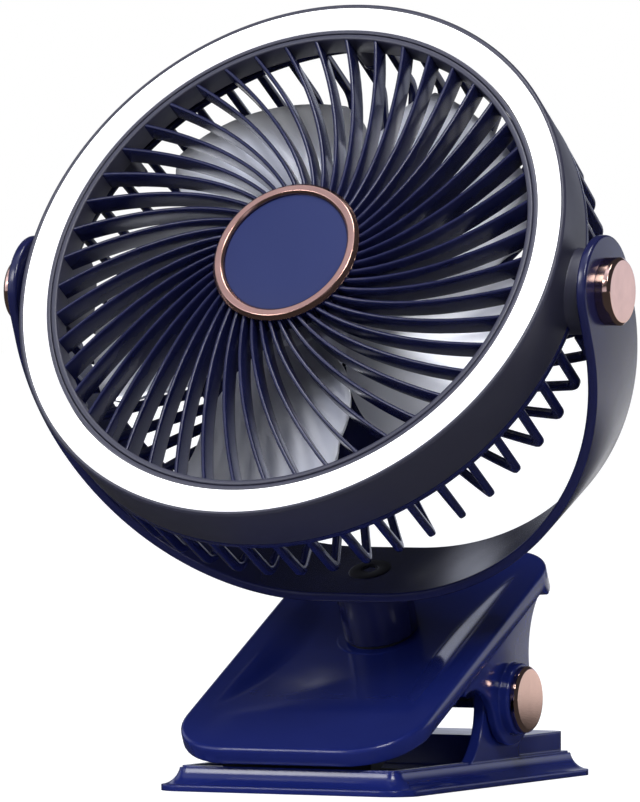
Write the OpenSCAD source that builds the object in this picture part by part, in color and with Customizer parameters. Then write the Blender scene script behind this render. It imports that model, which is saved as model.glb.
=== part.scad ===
// Clip-on rechargeable camping fan with a light ring.
// A round head tilts in a U-shaped yoke, the yoke swivels on a spring clip.
// Origin: on the ground under the middle of the clip's base. X right, Y to the back, Z up.

/* [Head] */
// Diameter over the barrel of the head
barrel_d = 179.2; // [172:0.2:190]
// Depth of the barrel band, front to back
barrel_depth = 20; // [18:0.5:24]
// Amount by which the barrel narrows towards its rear edge
barrel_taper = 0.8; // [0:0.1:2]
// Wall thickness of the barrel
barrel_wall = 2; // [1.6:0.1:3]
// Width of the dark rim around the light ring
rim_w = 1.5; // [1:0.1:2.5]
// Width of the light ring's white face
ring_w = 7.6; // [5:0.1:10]
// Thickness of the light ring's diffuser
ring_t = 3; // [2:0.1:4]
// Depth of the channel that holds the light ring and its board
channel_depth = 8; // [7:0.1:10]
// Distance from the front face back to the tilt axis
pivot_setback = 21.5; // [18:0.5:26]
// Depth of the cage, from the front face to its back
cage_depth = 46.5; // [42:0.5:52]
// Upward tilt of the head as it stands
head_tilt = 30; // [0:1:60]

/* [Front grille] */
// Number of ribs in the front grille
rib_count = 48; // [30:1:54]
// Thickness of a front rib
rib_t = 1.5; // [1:0.1:2]
// Depth of a front rib at the light ring
rib_depth = 8; // [5:0.5:9]
// Turn of a rib from its outer end to the hub, in degrees
rib_sweep = 32; // [15:1:40]
// Height by which the hub stands in front of the light ring
hub_rise = 3; // [1:0.1:5]
// Diameter of the hub's trim ring
hub_d = 47.8; // [40:0.2:60]
// Width of the hub's trim ring
hub_trim_w = 3.7; // [2.5:0.1:5]

/* [Rear cage] */
// Number of ribs in the rear cage
cage_rib_count = 50; // [30:1:54]
// Width of a cage rib
cage_rib_w = 2.4; // [2:0.1:3.2]
// Thickness of the cage's wall, and so the depth of its ribs
cage_wall = 3.2; // [2.8:0.1:4]
// Radius of the bend between the cage's side and back
cage_bend_r = 6.5; // [4.5:0.5:9]
// Slope of the cage's back, a shallow cone, in degrees
cage_cone = 17.5; // [10:0.5:20]
// Amount by which the cage narrows towards its bend
cage_taper = 1.2; // [0:0.1:3]
// Turn of a cage rib from the bend to the pod, in degrees
cage_sweep = 4; // [0:1:30]
// Turn of the whole cage about the fan's axis, in degrees
cage_phase = 1.3; // [0:0.1:7]
// Diameter of the battery pod behind the cage
pod_d = 92; // [92:0.5:104]
// Depth of the battery pod behind the cage
pod_depth = 28; // [27.5:0.5:34]
// Wall thickness of the battery pod
pod_wall = 2; // [1.6:0.1:2.4]

/* [Fan] */
// Number of fan blades
blade_count = 5; // [3:1:7]
// Diameter over the fan blades
blade_d = 146; // [120:1:150]
// Thickness of a fan blade
blade_t = 1.8; // [1.2:0.1:2.5]
// Pitch of a fan blade, in degrees
blade_pitch = 15; // [8:1:24]
// Diameter of the fan's hub
fan_hub_d = 40; // [36:0.5:46]
// Diameter of the motor's case
motor_d = 30; // [24:0.5:32]
// Length of the motor
motor_l = 16; // [14:0.5:17]
// Diameter of the motor's shaft
shaft_d = 4; // [3:0.1:5]

/* [Yoke] */
// Gap between the barrel and the yoke's arms
yoke_gap = 4.8; // [4:0.1:8]
// Thickness of the yoke's strip
yoke_t = 3.1; // [2.4:0.1:5]
// Width of the yoke's strip
yoke_w = 34; // [28:0.5:40]
// Straight run that squares the yoke's curve
yoke_square = 10; // [4:0.5:16]
// Forward lean of the yoke's swivel axis
yoke_lean = 24; // [15:0.5:30]
// Diameter of the caps over the tilt bolts
tilt_cap_d = 20.6; // [19:0.1:26]
// Height of the caps over the tilt bolts
tilt_cap_h = 5; // [4.6:0.1:8]
// Diameter of the bosses that carry the tilt bolts
boss_d = 26; // [22:0.5:28]

/* [Swivel] */
// Diameter of the swivel post
post_d = 23.4; // [20:0.2:28]
// Height of the swivel post between its seat and the yoke
post_h = 19; // [15:0.5:24]
// Position of the swivel seat along the upper jaw, from its front edge
seat_v = 79.5; // [74:0.5:84]
// Diameter of the swivel bolt
bolt_d = 8; // [6:0.5:10]

/* [Upper jaw] */
// How far the upper jaw stands inside the base on each side
jaw_side = 2; // [1.5:0.25:4]
// Length of the upper jaw along its slope
jaw_l = 129; // [122:0.5:131]
// Slope of the upper jaw when the clip is closed
jaw_slope = 26.5; // [25:0.5:28]
// Height of the upper jaw's edge
jaw_edge = 5.6; // [5:0.1:6.4]
// Height of the handle's rim at its rear end
handle_rim = 8.5; // [7:0.1:10]
// Amount by which the cheeks stand in from the upper jaw's edge
cheek_inset = 0.8; // [0:0.1:1.5]
// Wall thickness of the upper jaw
jaw_wall = 2.6; // [2:0.1:3]
// Height of the upper jaw's front top edge over the ground
jaw_front_z = 13.4; // [12.8:0.1:15]
// Distance of the upper jaw's front edge from the base's front edge
jaw_setback = 1; // [0:0.1:3]
// Radius of the upper jaw's front corners
jaw_front_r = 21; // [10:0.5:28]
// Radius of the upper jaw's rear corners
jaw_rear_r = 15; // [8:0.5:18]
// Depth of the dish under the yoke
dish_depth = 3; // [2.7:0.1:4]
// Length of the dish along the jaw
dish_l = 90; // [70:1:92]
// Width of the dish at the jaw's surface
dish_w = 65; // [56:0.5:66]
// Width of each sloping side of the dish
dish_side = 8.5; // [6:0.5:12]

/* [Base] */
// Width of the base at the ground
base_w = 86; // [84:0.5:96]
// Length of the base at the ground
base_l = 141; // [136:0.5:150]
// Height of the base's rim
base_h = 7.6; // [7:0.1:8]
// Width of the flared skirt around the base
skirt_w = 6.5; // [6:0.1:8]
// Height of the skirt's outer lip
lip_h = 1.8; // [1:0.1:3]
// Corner radius of the base at the ground
base_corner_r = 9; // [9:0.5:14]
// Thickness of the base's floor
base_floor = 4.4; // [3.4:0.1:5]
// Height of the rear deck over the ground
deck_h = 13.8; // [12:0.1:15]
// Length of the rear deck
deck_l = 36; // [33:0.5:38]
// Thickness of an ear of the base
ear_t = 3.4; // [3:0.1:4.5]
// Distance of the hinge pin behind the base's middle
pin_y = 13; // [10:0.5:16]
// Height of the hinge pin over the ground
pin_z = 26; // [25:0.5:27]
// Diameter of the hinge pin
pin_d = 6; // [5:0.1:7]
// Diameter of the hinge pin's end caps
pin_cap_d = 20.6; // [18:0.2:21.4]
// Height of the hinge pin's end caps
pin_cap_h = 2.2; // [1.8:0.1:4]
// Height of the bosses under the hinge pin's caps
pin_boss_h = 3.2; // [2:0.1:5]
// Radius of the jaw's cheek around the pin
lobe_r = 14.5; // [13:0.1:15]

/* [Hidden] */
$fn = 96;
fit = 0.05;                // radial clearance of a running fit
air = 0.3;                 // clearance between parts that pass each other
washer_t = 0.8;            // thickness of the washers
pinch = 0.2;               // axial clearance at a washer
eps = 0.01;                // overshoot of a cut

// Head, measured along its own axis: z = 0 on the tilt axis, +z out of the front
barrel_r = barrel_d / 2;
face_z = pivot_setback;
barrel_back_z = face_z - barrel_depth;
ring_ro = barrel_r - rim_w;
ring_ri = ring_ro - ring_w;
channel_wall = 1.4;
bore_r = ring_ri - channel_wall;
shelf_z = face_z - channel_depth;
cage_back_z = face_z - cage_depth;
cage_r = barrel_r - barrel_taper;
pod_r = pod_d / 2;
pod_back_z = cage_back_z - pod_depth;
hub_r = hub_d / 2;
hub_z = face_z + hub_rise;

// Base, clip and yoke, in the ground's frame
jaw_w = base_w - 2 * jaw_side;
deck_back_y = base_l / 2 - skirt_w - 1.5;
deck_front_y = deck_back_y - deck_l;
jaw_front_y = -base_l / 2 + jaw_setback;
seat_down = dish_depth + 0.4;
seat_pos = [0, jaw_front_y + seat_v * cos(jaw_slope) + seat_down * sin(yoke_lean),
    jaw_front_z + seat_v * sin(jaw_slope) - seat_down * cos(yoke_lean)];
ear_in_x = barrel_r + yoke_gap;
yoke_a = ear_in_x + yoke_t;
reach = post_h + yoke_a;
pivot_pos = seat_pos + reach * [0, -sin(yoke_lean), cos(yoke_lean)];

// Hinge pin in the upper jaw's own frame: v along the slope, w square to it
pin_dy = pin_y - jaw_front_y;
pin_dz = pin_z - jaw_front_z;
pin_v = pin_dy * cos(jaw_slope) + pin_dz * sin(jaw_slope);
pin_w = pin_dz * cos(jaw_slope) - pin_dy * sin(jaw_slope);

cheek_out_x = jaw_w / 2 - cheek_inset;
cheek_in_x = cheek_out_x - jaw_wall;
ear_out_x = cheek_in_x - 0.6;
boss_face_x = ear_in_x - washer_t - pinch;

module at_jaw() translate([0, jaw_front_y, jaw_front_z]) rotate([jaw_slope, 0, 0]) children();
module at_seat() translate(seat_pos) rotate([yoke_lean, 0, 0]) children();
module at_yoke() at_seat() translate([0, 0, reach]) children();
module at_head() translate(pivot_pos) rotate([90 - head_tilt, 0, 0]) children();
module at_pin() translate([0, pin_y, pin_z]) children();
module both_sides() for (s = [0, 1]) mirror([s, 0, 0]) children();

// A cylinder along X from x0 to x1
module x_rod(x0, x1, r) translate([x0, 0, 0]) rotate([0, 90, 0]) cylinder(h = x1 - x0, r = r);

// Flat ring around the head's axis, from z0 to z1
module band(r_in, r_out, z0, z1) {
    translate([0, 0, z0])
        difference() {
            cylinder(h = z1 - z0, r = r_out, $fn = 180);
            translate([0, 0, -1]) cylinder(h = z1 - z0 + 2, r = r_in, $fn = 180);
        }
}

// Rectangle with round corners, each end with its own radius; y from 0 to l
module rounded_plan(w, l, r_front, r_rear) {
    for (s = [-1, 1]) {
        translate([s * (w / 2 - r_front), r_front]) circle(r_front);
        translate([s * (w / 2 - r_rear), l - r_rear]) circle(r_rear);
    }
    translate([-w / 2 + r_front, 0]) square([w - 2 * r_front, l / 2]);
    translate([-w / 2 + r_rear, l / 2]) square([w - 2 * r_rear, l / 2]);
    translate([-w / 2, r_front]) square([w, l - r_front - r_rear]);
}

// ---------- base ----------

// Section of the base's edge: x = 0 at the corner's centre, outwards to the lip
module skirt_section() {
    r = base_corner_r;
    flare_h = base_h - lip_h;
    difference() {
        square([r, base_h]);
        translate([r, base_h]) intersection() {
            translate([-skirt_w, -flare_h]) square([skirt_w + 1, flare_h + 1]);
            translate([0.6, 0.6]) circle(min(skirt_w, flare_h) + 0.6);
        }
        translate([r - skirt_w, base_h - 0.6]) square([skirt_w + 1, 1]);
    }
}

module base_body() {
    cx = base_w / 2 - base_corner_r;
    cy = base_l / 2 - base_corner_r;
    for (sx = [-1, 1], sy = [-1, 1])
        translate([sx * cx, sy * cy, 0]) rotate_extrude() skirt_section();
    for (s = [-1, 1]) {
        translate([s * cx, 0, 0]) rotate([90, 0, 90 - 90 * s])
            translate([0, 0, -cy]) linear_extrude(2 * cy) skirt_section();
        translate([0, s * cy, 0]) rotate([90, 0, s * 90])
            translate([0, 0, -cx]) linear_extrude(2 * cx) skirt_section();
    }
    translate([-cx, -cy, 0]) cube([2 * cx, 2 * cy, base_h]);
}

// Side view of an ear: a round head on a leg that flares into the floor at the front
module ear_section() {
    ear_r = lobe_r + 0.5;
    flare_r = 20;
    foot = base_floor - pin_z - eps;
    circle(ear_r);
    translate([-ear_r, foot]) square([2 * ear_r - 4, -foot]);
    difference() {
        translate([-ear_r - flare_r, foot]) square([flare_r + 1, flare_r]);
        translate([-ear_r - flare_r, foot + flare_r]) circle(flare_r);
    }
}

module lower_jaw() {
    rim_t = 2.2;
    in_w = base_w - 2 * (skirt_w + rim_t);
    in_l = base_l - 2 * (skirt_w + rim_t);
    deck_w = in_w + rim_t;
    color("#161d56") {
        difference() {
            union() {
                base_body();
                translate([0, deck_front_y, base_floor])
                    linear_extrude(deck_h - base_floor)
                        rounded_plan(deck_w, deck_back_y - deck_front_y, 2, 4);
            }
            // tray inside the rim, in front of the deck
            translate([-in_w / 2, -in_l / 2, base_floor])
                cube([in_w, deck_front_y + in_l / 2, base_h]);
            // hollow under the deck
            translate([-deck_w / 2 + 3, deck_front_y + 3, -eps])
                cube([deck_w - 6, deck_l - 6, deck_h - 2.6]);
            foot_places() translate([0, 0, -1]) cylinder(h = 1 + foot_t, r = foot_r + fit);
            at_pin() x_rod(-base_w, base_w, pin_d / 2);
        }
        both_sides() difference() {
            at_pin() translate([ear_out_x - ear_t, 0, 0])
                rotate([90, 0, 90]) linear_extrude(ear_t) ear_section();
            at_pin() x_rod(0, base_w, pin_d / 2);
        }
    }
}

foot_r = 6;
foot_t = 1.6;
module foot_places() {
    for (sx = [-1, 1], sy = [-1, 1])
        translate([sx * (base_w / 2 - 15), sy * (base_l / 2 - 15), 0]) children();
}

module foot_pads() {
    color("#15151a") foot_places() cylinder(h = foot_t, r = foot_r);
}

pad_t = 1.6;
pad_w = 50;
pad_l = 34;
module lower_jaw_pad() {
    y0 = jaw_front_y + 10;
    color("#1b1b22") difference() {
        translate([0, y0, base_floor]) linear_extrude(pad_t) rounded_plan(pad_w, pad_l, 3, 3);
        for (i = [1:6])
            translate([-pad_w / 2 - 1, y0 + i * pad_l / 7 - 0.75, base_floor + pad_t - 0.7])
                cube([pad_w + 2, 1.5, 2]);
    }
}

pin_reach = 1.5;
module hinge_pin() {
    end_x = cheek_out_x + pin_boss_h + pin_reach;
    color("#b9bcc4") at_pin() x_rod(-end_x, end_x, pin_d / 2);
}

module pin_cap() {
    at_pin() translate([cheek_out_x + pin_boss_h + air, 0, 0]) difference() {
        rotate([0, 90, 0]) rotate_extrude() cap_section(pin_cap_d / 2, pin_cap_h);
        x_rod(-1, pin_reach - air, pin_d / 2);
    }
}

// Half section of a cap with a bevelled edge
module cap_section(r, h) {
    bevel = 0.9;
    polygon([[0, 0], [r, 0], [r, h - bevel], [r - bevel, h], [0, h]]);
}

module pin_cap_right() color("#dfbeb6") pin_cap();
module pin_cap_left() color("#dfbeb6") mirror([1, 0, 0]) pin_cap();

spring_wire = 2;
spring_turns = 9;
spring_r = 6.4;
// One end of the coil: most of a turn and a straight leg that leaves it in the direction aim
module spring_end(start, aim, leg_l, side) {
    turn = 300;
    rotate([0, 90, 0]) rotate([0, 0, start]) rotate_extrude(angle = turn)
        translate([spring_r, 0]) circle(spring_wire / 2, $fn = 24);
    root = side > 0 ? start : start + turn;
    // the leg starts just inside the turn's end and is a hair thinner
    translate([0, spring_r * sin(root), -spring_r * cos(root)]) rotate([aim - 90, 0, 0])
        translate([0, 0, -0.5]) cylinder(h = leg_l + 0.5, r = spring_wire / 2 - 0.05, $fn = 24);
}

spring_leg_l = 26;
// Angle at which a leg of the coil rises by rise at its tip
function leg_angle(rise) = asin(rise / norm([spring_r, spring_leg_l])) - atan(spring_r / spring_leg_l);

module torsion_spring() {
    pitch = spring_wire * 1.15;
    half = (spring_turns - 1) / 2;
    clear = spring_wire / 2 + air;
    lift = jaw_slope + leg_angle(-pin_w - jaw_wall - dish_depth - clear);
    fall = -leg_angle(pin_z - deck_h - clear);
    color("#9a9da5") at_pin() {
        for (i = [-half + 1:half - 1])
            translate([i * pitch, 0, 0]) rotate([0, 90, 0]) rotate_extrude()
                translate([spring_r, 0]) circle(spring_wire / 2, $fn = 24);
        // one leg rests under the handle, the other on the rear deck
        translate([half * pitch, 0, 0]) spring_end(180 + lift, lift, spring_leg_l, 1);
        translate([-half * pitch, 0, 0]) spring_end(fall - 300, fall, spring_leg_l, -1);
    }
}

// ---------- upper jaw ----------

// Radius of the dish's floor from its length and depth
dish_r = (pow(dish_l / 2, 2) + pow(dish_depth, 2)) / (2 * dish_depth);

dish_lead = 7;
// The dish: a round floor across the jaw between two sloping side walls
module dish(grow) {
    slope = dish_depth / dish_side;
    low = -dish_depth - 8;
    top = 20;
    side = dish_w / 2 + grow;
    translate([0, seat_v - dish_lead, 0]) intersection() {
        translate([0, 0, dish_r - dish_depth]) x_rod(-jaw_w, jaw_w, dish_r + grow, $fn = 180);
        rotate([90, 0, 0]) translate([0, 0, -jaw_l / 2]) linear_extrude(jaw_l)
            polygon([[-side, top], [-side, 0], [-side - low / slope, low], [side + low / slope, low],
                [side, 0], [side, top]]);
    }
}

// Plan of the jaw's solid, or of the hollow inside its walls
module jaw_plan(inset) {
    translate([0, inset]) rounded_plan(jaw_w - 2 * inset, jaw_l - 2 * inset, jaw_front_r - inset, jaw_rear_r - inset);
}

// Side view of a cheek between the edge and the round lobe at the pin
module cheek_section() {
    arch_r = 16;
    sweep_r = 24;
    front = [pin_v - (lobe_r + arch_r) * cos(3), pin_w + (lobe_r + arch_r) * sin(3)];
    rear = [pin_v + (lobe_r + sweep_r) * cos(5), pin_w - (lobe_r + sweep_r) * sin(5)];
    translate([pin_v, pin_w]) circle(lobe_r);
    difference() {
        polygon([[front[0], -jaw_edge + eps], front, [pin_v, pin_w], rear,
            [min(rear[0], jaw_l - jaw_rear_r), -jaw_edge + eps]]);
        translate(front) circle(arch_r);
        translate(rear) circle(sweep_r);
    }
}

seat_depth = 4;
module upper_jaw() {
    seat_boss_r = post_d / 2 + 2.4;
    color("#161d56") difference() {
        union() {
            at_jaw() difference() {
                union() {
                    translate([0, 0, -jaw_edge]) linear_extrude(jaw_edge) jaw_plan(0);
                    // the rim hangs lower round the end of the handle
                    translate([0, 0, -handle_rim]) linear_extrude(handle_rim) intersection() {
                        jaw_plan(0);
                        translate([-jaw_w, jaw_l - jaw_rear_r]) square([2 * jaw_w, jaw_rear_r]);
                    }
                    both_sides() translate([cheek_in_x, 0, 0])
                        rotate([90, 0, 90]) linear_extrude(jaw_wall) cheek_section();
                }
                // hollow underside, kept clear of the dish
                difference() {
                    translate([0, 0, -handle_rim - 1]) linear_extrude(handle_rim + 1 - jaw_wall)
                        jaw_plan(cheek_inset + jaw_wall);
                    dish(jaw_wall);
                }
            }
            // boss of the swivel seat under the dish
            at_seat() translate([0, 0, -seat_depth]) cylinder(h = seat_depth, r = seat_boss_r);
            both_sides() at_pin() x_rod(cheek_out_x - jaw_wall / 2, cheek_out_x + pin_boss_h, pin_cap_d / 2 + 0.9);
        }
        at_jaw() dish(0);
        at_seat() translate([0, 0, -40]) cylinder(h = 60, r = bolt_d / 2 + fit);
        // flat for the post's foot
        at_seat() cylinder(h = 10, r = post_d / 2 + air);
        at_pin() x_rod(-base_w, base_w, pin_d / 2 + fit);
    }
}

module upper_jaw_pad() {
    // a rubber nose under the front edge that closes level onto the base's pad
    nose_y = jaw_front_y + 12;
    nose_l = 20;
    low = base_floor + pad_t + air;
    color("#1b1b22") difference() {
        intersection() {
            translate([-pad_w / 2, nose_y, low]) cube([pad_w, nose_l, 30]);
            at_jaw() translate([-pad_w / 2, 0, -jaw_edge - 8]) cube([pad_w, jaw_l / 2, jaw_edge + 8 - jaw_wall]);
        }
        at_jaw() dish(jaw_wall + fit);
    }
}

// ---------- swivel and yoke ----------

module swivel_washer() {
    color("#22222a") at_seat() difference() {
        cylinder(h = washer_t, r = post_d / 2 - 1);
        translate([0, 0, -1]) cylinder(h = washer_t + 2, r = bolt_d / 2 + 0.4);
    }
}

module swivel_post() {
    color("#141a4e") at_seat() difference() {
        translate([0, 0, washer_t + pinch]) cylinder(h = post_h - washer_t - pinch, r = post_d / 2);
        cylinder(h = post_h + 1, r = bolt_d / 2);
    }
}

countersink = 2.8;
nut_t = 5;
module swivel_bolt() {
    nut_room = nut_t + 1;
    color("#a9acb4") at_seat() {
        translate([0, 0, -seat_depth - nut_room]) cylinder(h = seat_depth + nut_room + post_h + 1, r = bolt_d / 2);
        translate([0, 0, post_h + yoke_t - countersink])
            cylinder(h = countersink, r1 = bolt_d / 2, r2 = bolt_d / 2 + countersink);
    }
}

module swivel_nut() {
    color("#a9acb4") at_seat() translate([0, 0, -seat_depth - air - nut_t]) difference() {
        cylinder(h = nut_t, r = bolt_d / 2 + 3.4, $fn = 6);
        translate([0, 0, -1]) cylinder(h = nut_t + 2, r = bolt_d / 2);
    }
}

// Front view of the yoke, grown inwards by inset: straight arms, round corners, flat foot
module yoke_outline(inset) {
    a = yoke_a - inset;
    r = yoke_a - yoke_square - inset;
    for (s = [-1, 1]) translate([s * yoke_square, -yoke_square]) circle(r, $fn = 240);
    translate([-yoke_square, -a]) square([2 * yoke_square, a]);
    translate([-a, -yoke_square]) square([2 * a, yoke_square + yoke_w]);
}

module yoke() {
    half_w = yoke_w / 2;
    color("#161d56") at_yoke() difference() {
        intersection() {
            rotate([90, 0, 0]) translate([0, 0, -half_w]) linear_extrude(yoke_w) difference() {
                yoke_outline(0);
                yoke_outline(yoke_t);
            }
            union() {
                x_rod(-yoke_a - 1, yoke_a + 1, half_w);
                translate([-yoke_a - 1, -half_w, -yoke_a - 1]) cube([2 * yoke_a + 2, yoke_w, yoke_a + 1]);
            }
        }
        x_rod(-yoke_a - 1, yoke_a + 1, tilt_bolt_r + fit);
        translate([0, 0, -yoke_a - 1]) cylinder(h = 10, r = bolt_d / 2);
        translate([0, 0, -yoke_a + yoke_t - countersink])
            cylinder(h = countersink + eps, r1 = bolt_d / 2, r2 = bolt_d / 2 + countersink + eps);
    }
}

tilt_bolt_r = 4;
bolt_head_t = 2.6;
module tilt_cap() {
    at_yoke() translate([yoke_a, 0, 0]) difference() {
        rotate([0, 90, 0]) rotate_extrude() cap_section(tilt_cap_d / 2, tilt_cap_h);
        x_rod(-1, tilt_cap_h - 1.2, tilt_cap_d / 2 - 1.4);
    }
}
module tilt_cap_right() color("#dfbeb6") tilt_cap();
module tilt_cap_left() color("#dfbeb6") mirror([1, 0, 0]) tilt_cap();

insert_l = 6;
module tilt_bolt() {
    at_head() {
        x_rod(boss_face_x - insert_l, yoke_a + air, tilt_bolt_r);
        x_rod(yoke_a + air, yoke_a + air + bolt_head_t, 7);
    }
}
module tilt_bolt_right() color("#a9acb4") tilt_bolt();
module tilt_bolt_left() color("#a9acb4") mirror([1, 0, 0]) tilt_bolt();

module tilt_washers() {
    color("#22222a") at_head() both_sides() difference() {
        x_rod(boss_face_x, boss_face_x + washer_t, boss_d / 2 - 1.5);
        x_rod(boss_face_x - 1, boss_face_x + washer_t + 1, tilt_bolt_r);
    }
}

module tilt_inserts() {
    color("#c9a24a") at_head() both_sides() difference() {
        x_rod(boss_face_x - insert_l, boss_face_x, tilt_bolt_r + 1.5);
        x_rod(boss_face_x - insert_l - 1, boss_face_x + 1, tilt_bolt_r);
    }
}

// ---------- head ----------

screw_ring_r = cage_r - cage_wall - 3.2;
screw_angles = [for (i = [0:5]) 30 + 60 * i];
cage_rim_h = 2.4;
cage_screw_l = 6;
screw_r = 1.3;
screw_head_r = 2.6;
screw_head_t = 1.8;
module around(angles, r) for (a = angles) rotate([0, 0, a]) translate([r, 0, 0]) children();

module barrel() {
    back_r = barrel_r - barrel_taper;
    color("#2b2d3d") at_head() difference() {
        union() {
            rotate_extrude($fn = 180) {
                // outer band with a small bevel at the front
                polygon([[ring_ro + air / 2, shelf_z], [ring_ro + air / 2, face_z], [barrel_r - 0.6, face_z],
                    [barrel_r, face_z - 0.8], [back_r, barrel_back_z],
                    [back_r - barrel_wall, barrel_back_z], [back_r - barrel_wall, shelf_z - 2]]);
                // shelf and inner wall of the light's channel
                translate([bore_r, shelf_z - 2]) square([ring_ro + 1 - bore_r, 2]);
                translate([bore_r, shelf_z - 2]) square([channel_wall - air / 2, channel_depth + 1.4]);
            }
            around(screw_angles, screw_ring_r) translate([0, 0, barrel_back_z])
                cylinder(h = shelf_z - 1 - barrel_back_z, r = 3.4);
            both_sides() intersection() {
                x_rod(boss_face_x - 12, boss_face_x, boss_d / 2);
                translate([0, -50, -50]) cube([200, 100, 50 + face_z - 4]);
            }
        }
        both_sides() x_rod(boss_face_x - insert_l, boss_face_x + 1, tilt_bolt_r + 1.5);
        around(screw_angles, screw_ring_r) translate([0, 0, barrel_back_z - 1]) cylinder(h = 11, r = 1.3);
    }
}

module light_ring() {
    r_in = ring_ri + air / 2;
    color("white") at_head() rotate_extrude($fn = 180)
        polygon([[r_in, face_z - ring_t], [r_in, face_z - 0.6], [r_in + 0.8, face_z],
            [ring_ro - 0.8, face_z], [ring_ro, face_z - 0.6], [ring_ro, face_z - ring_t]]);
}

board_t = 1.2;
led_count = 36;
module led_board() {
    color("#e8e8e0") at_head() band(ring_ri + 0.6, ring_ro - 0.6, shelf_z, shelf_z + board_t);
}

module led_chips() {
    color("#f6e9a8") at_head()
        around([for (i = [0:led_count - 1]) i * 360 / led_count], (ring_ri + ring_ro) / 2)
            translate([-1.4, -1.4, shelf_z + board_t]) cube([2.8, 2.8, 0.9]);
}

// Centre line of a curved rib: it turns by sweep between the radii r1 and r0
function rib_angle(r, r0, r1, sweep) = -sweep * ln(r1 / r) / ln(r1 / r0);
function polar(r, a) = [r * cos(a), r * sin(a)];
module curved_rib(r0, r1, sweep, t) {
    steps = max(2, round(sweep / 4));
    radii = [for (i = [0:steps]) r0 + (r1 - r0) * i / steps];
    half = t / 2;
    polygon(concat(
        [for (r = radii) polar(r, rib_angle(r, r0, r1, sweep) + half / r * 180 / PI)],
        [for (i = [steps:-1:0]) polar(radii[i], rib_angle(radii[i], r0, r1, sweep) - half / radii[i] * 180 / PI)]));
}

module front_grille() {
    outer_r = bore_r - 0.2;
    ring_in = outer_r - 1.8;
    seat_r = hub_r - 1.2;
    low_z = face_z - rib_depth - 0.6;
    color("#1a2050") at_head() {
        difference() {
            cylinder_between(low_z, face_z - 0.6, outer_r);
            cylinder_between(low_z - 1, face_z + 1, ring_in);
        }
        intersection() {
            translate([0, 0, low_z]) linear_extrude(rib_depth + hub_rise + 2)
                for (i = [0:rib_count - 1]) rotate([0, 0, i * 360 / rib_count])
                    curved_rib(seat_r - 0.6, ring_in + 0.6, rib_sweep, rib_t);
            rotate_extrude($fn = 180)
                polygon([[seat_r - 1, low_z + hub_rise], [outer_r - 0.4, low_z + 0.3], [outer_r - 0.4, face_z - 1],
                    [seat_r - 1, hub_z - 1.2]]);
        }
        difference() {
            cylinder_between(low_z + hub_rise, hub_z - 1, seat_r);
            cylinder_between(low_z + hub_rise - 1, hub_z - 4, seat_r - 2);
        }
    }
}

module cylinder_between(z0, z1, r) translate([0, 0, z0]) cylinder(h = z1 - z0, r = r, $fn = 180);

disc_drop = 1.2;
module hub_trim() {
    inner = hub_r - hub_trim_w;
    color("#e0b8a8") at_head() rotate_extrude($fn = 180)
        polygon([[inner, hub_z - 1], [hub_r, hub_z - 1], [hub_r, hub_z - 0.6], [hub_r - 1.1, hub_z + 0.6],
            [inner + 0.7, hub_z + 0.6], [inner, hub_z]]);
}

module hub_disc() {
    r = hub_r - hub_trim_w - 0.1;
    color("#2e3869") at_head() cylinder_between(hub_z - 1, hub_z + 0.6 - disc_drop, r);
}

// Sleeve of the cage that the pod sits in, where the cone of the back ends
sleeve_in_r = pod_r + 0.2;
sleeve_r = sleeve_in_r + 2.4;
// Tangent point of the bend and the cone, in the half section
bend_x = cage_r - cage_taper - cage_bend_r;
bend_z = cage_back_z + cage_bend_r;
cone_start = [bend_x + cage_bend_r * sin(cage_cone), bend_z - cage_bend_r * cos(cage_cone)];
cone_end = [sleeve_r - 1, cone_start[1] - (cone_start[0] - sleeve_r + 1) * tan(cage_cone)];

// Half section of the cage's wall: side, bend and conical back
module cage_section(front_z) {
    b = cage_bend_r;
    w = cage_wall;
    inward = w * [-sin(cage_cone), cos(cage_cone)];
    side_r = cage_r - cage_taper;
    polygon([[side_r - w, bend_z], [side_r, bend_z], [cage_r, front_z], [cage_r - w, front_z]]);
    polygon([cone_start, cone_start + inward, cone_end + inward, cone_end]);
    translate([bend_x, bend_z]) intersection() {
        difference() {
            circle(b);
            circle(b - w);
        }
        polygon([[0, 0], [2 * b, 0], [2 * b, -2 * b], 2 * b * [sin(cage_cone), -cos(cage_cone)]]);
    }
}

module rear_cage() {
    front_z = barrel_back_z;
    low_z = cone_end[1] - 1;
    color("#151a4a") at_head() difference() {
        union() {
            intersection() {
                translate([0, 0, low_z]) linear_extrude(front_z - low_z)
                    for (i = [0:cage_rib_count - 1]) rotate([0, 0, i * 360 / cage_rib_count + cage_phase])
                        curved_rib(sleeve_r - 0.8, cage_r + 1, cage_sweep, cage_rib_w);
                rotate_extrude($fn = 180) cage_section(front_z - 0.5);
            }
            band(cage_r - cage_wall, cage_r, front_z - cage_rim_h, front_z);
            band(sleeve_in_r, sleeve_r, low_z, cage_back_z + cage_wall);
            cylinder_between(cage_back_z, cage_back_z + cage_wall, sleeve_in_r + 1);
            around(screw_angles, screw_ring_r) translate([0, 0, front_z - cage_rim_h]) cylinder(h = cage_rim_h, r = 3.4);
        }
        both_sides() x_rod(boss_face_x - 14, boss_face_x + 10, boss_d / 2 + 0.15);
        around(screw_angles, screw_ring_r) translate([0, 0, front_z - 10]) cylinder(h = 11, r = 1.3);
        around(pod_screw_angles, pod_screw_r) cylinder_between(cage_back_z - 1, cage_back_z + 10, 1.3);
        cylinder_between(cage_back_z - 1, cage_back_z + 10, 5);
    }
}

module cage_screws() {
    color("#8d9098") at_head() around(screw_angles, screw_ring_r) {
        cylinder_between(barrel_back_z - cage_rim_h, barrel_back_z + cage_screw_l, screw_r);
        cylinder_between(barrel_back_z - cage_rim_h - screw_head_t, barrel_back_z - cage_rim_h, screw_head_r);
    }
}

pod_screw_angles = [25, 155, 205, 335];
pod_boss_r = 3.4;
pod_screw_r = pod_r - pod_wall - pod_boss_r - 0.4;

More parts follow.
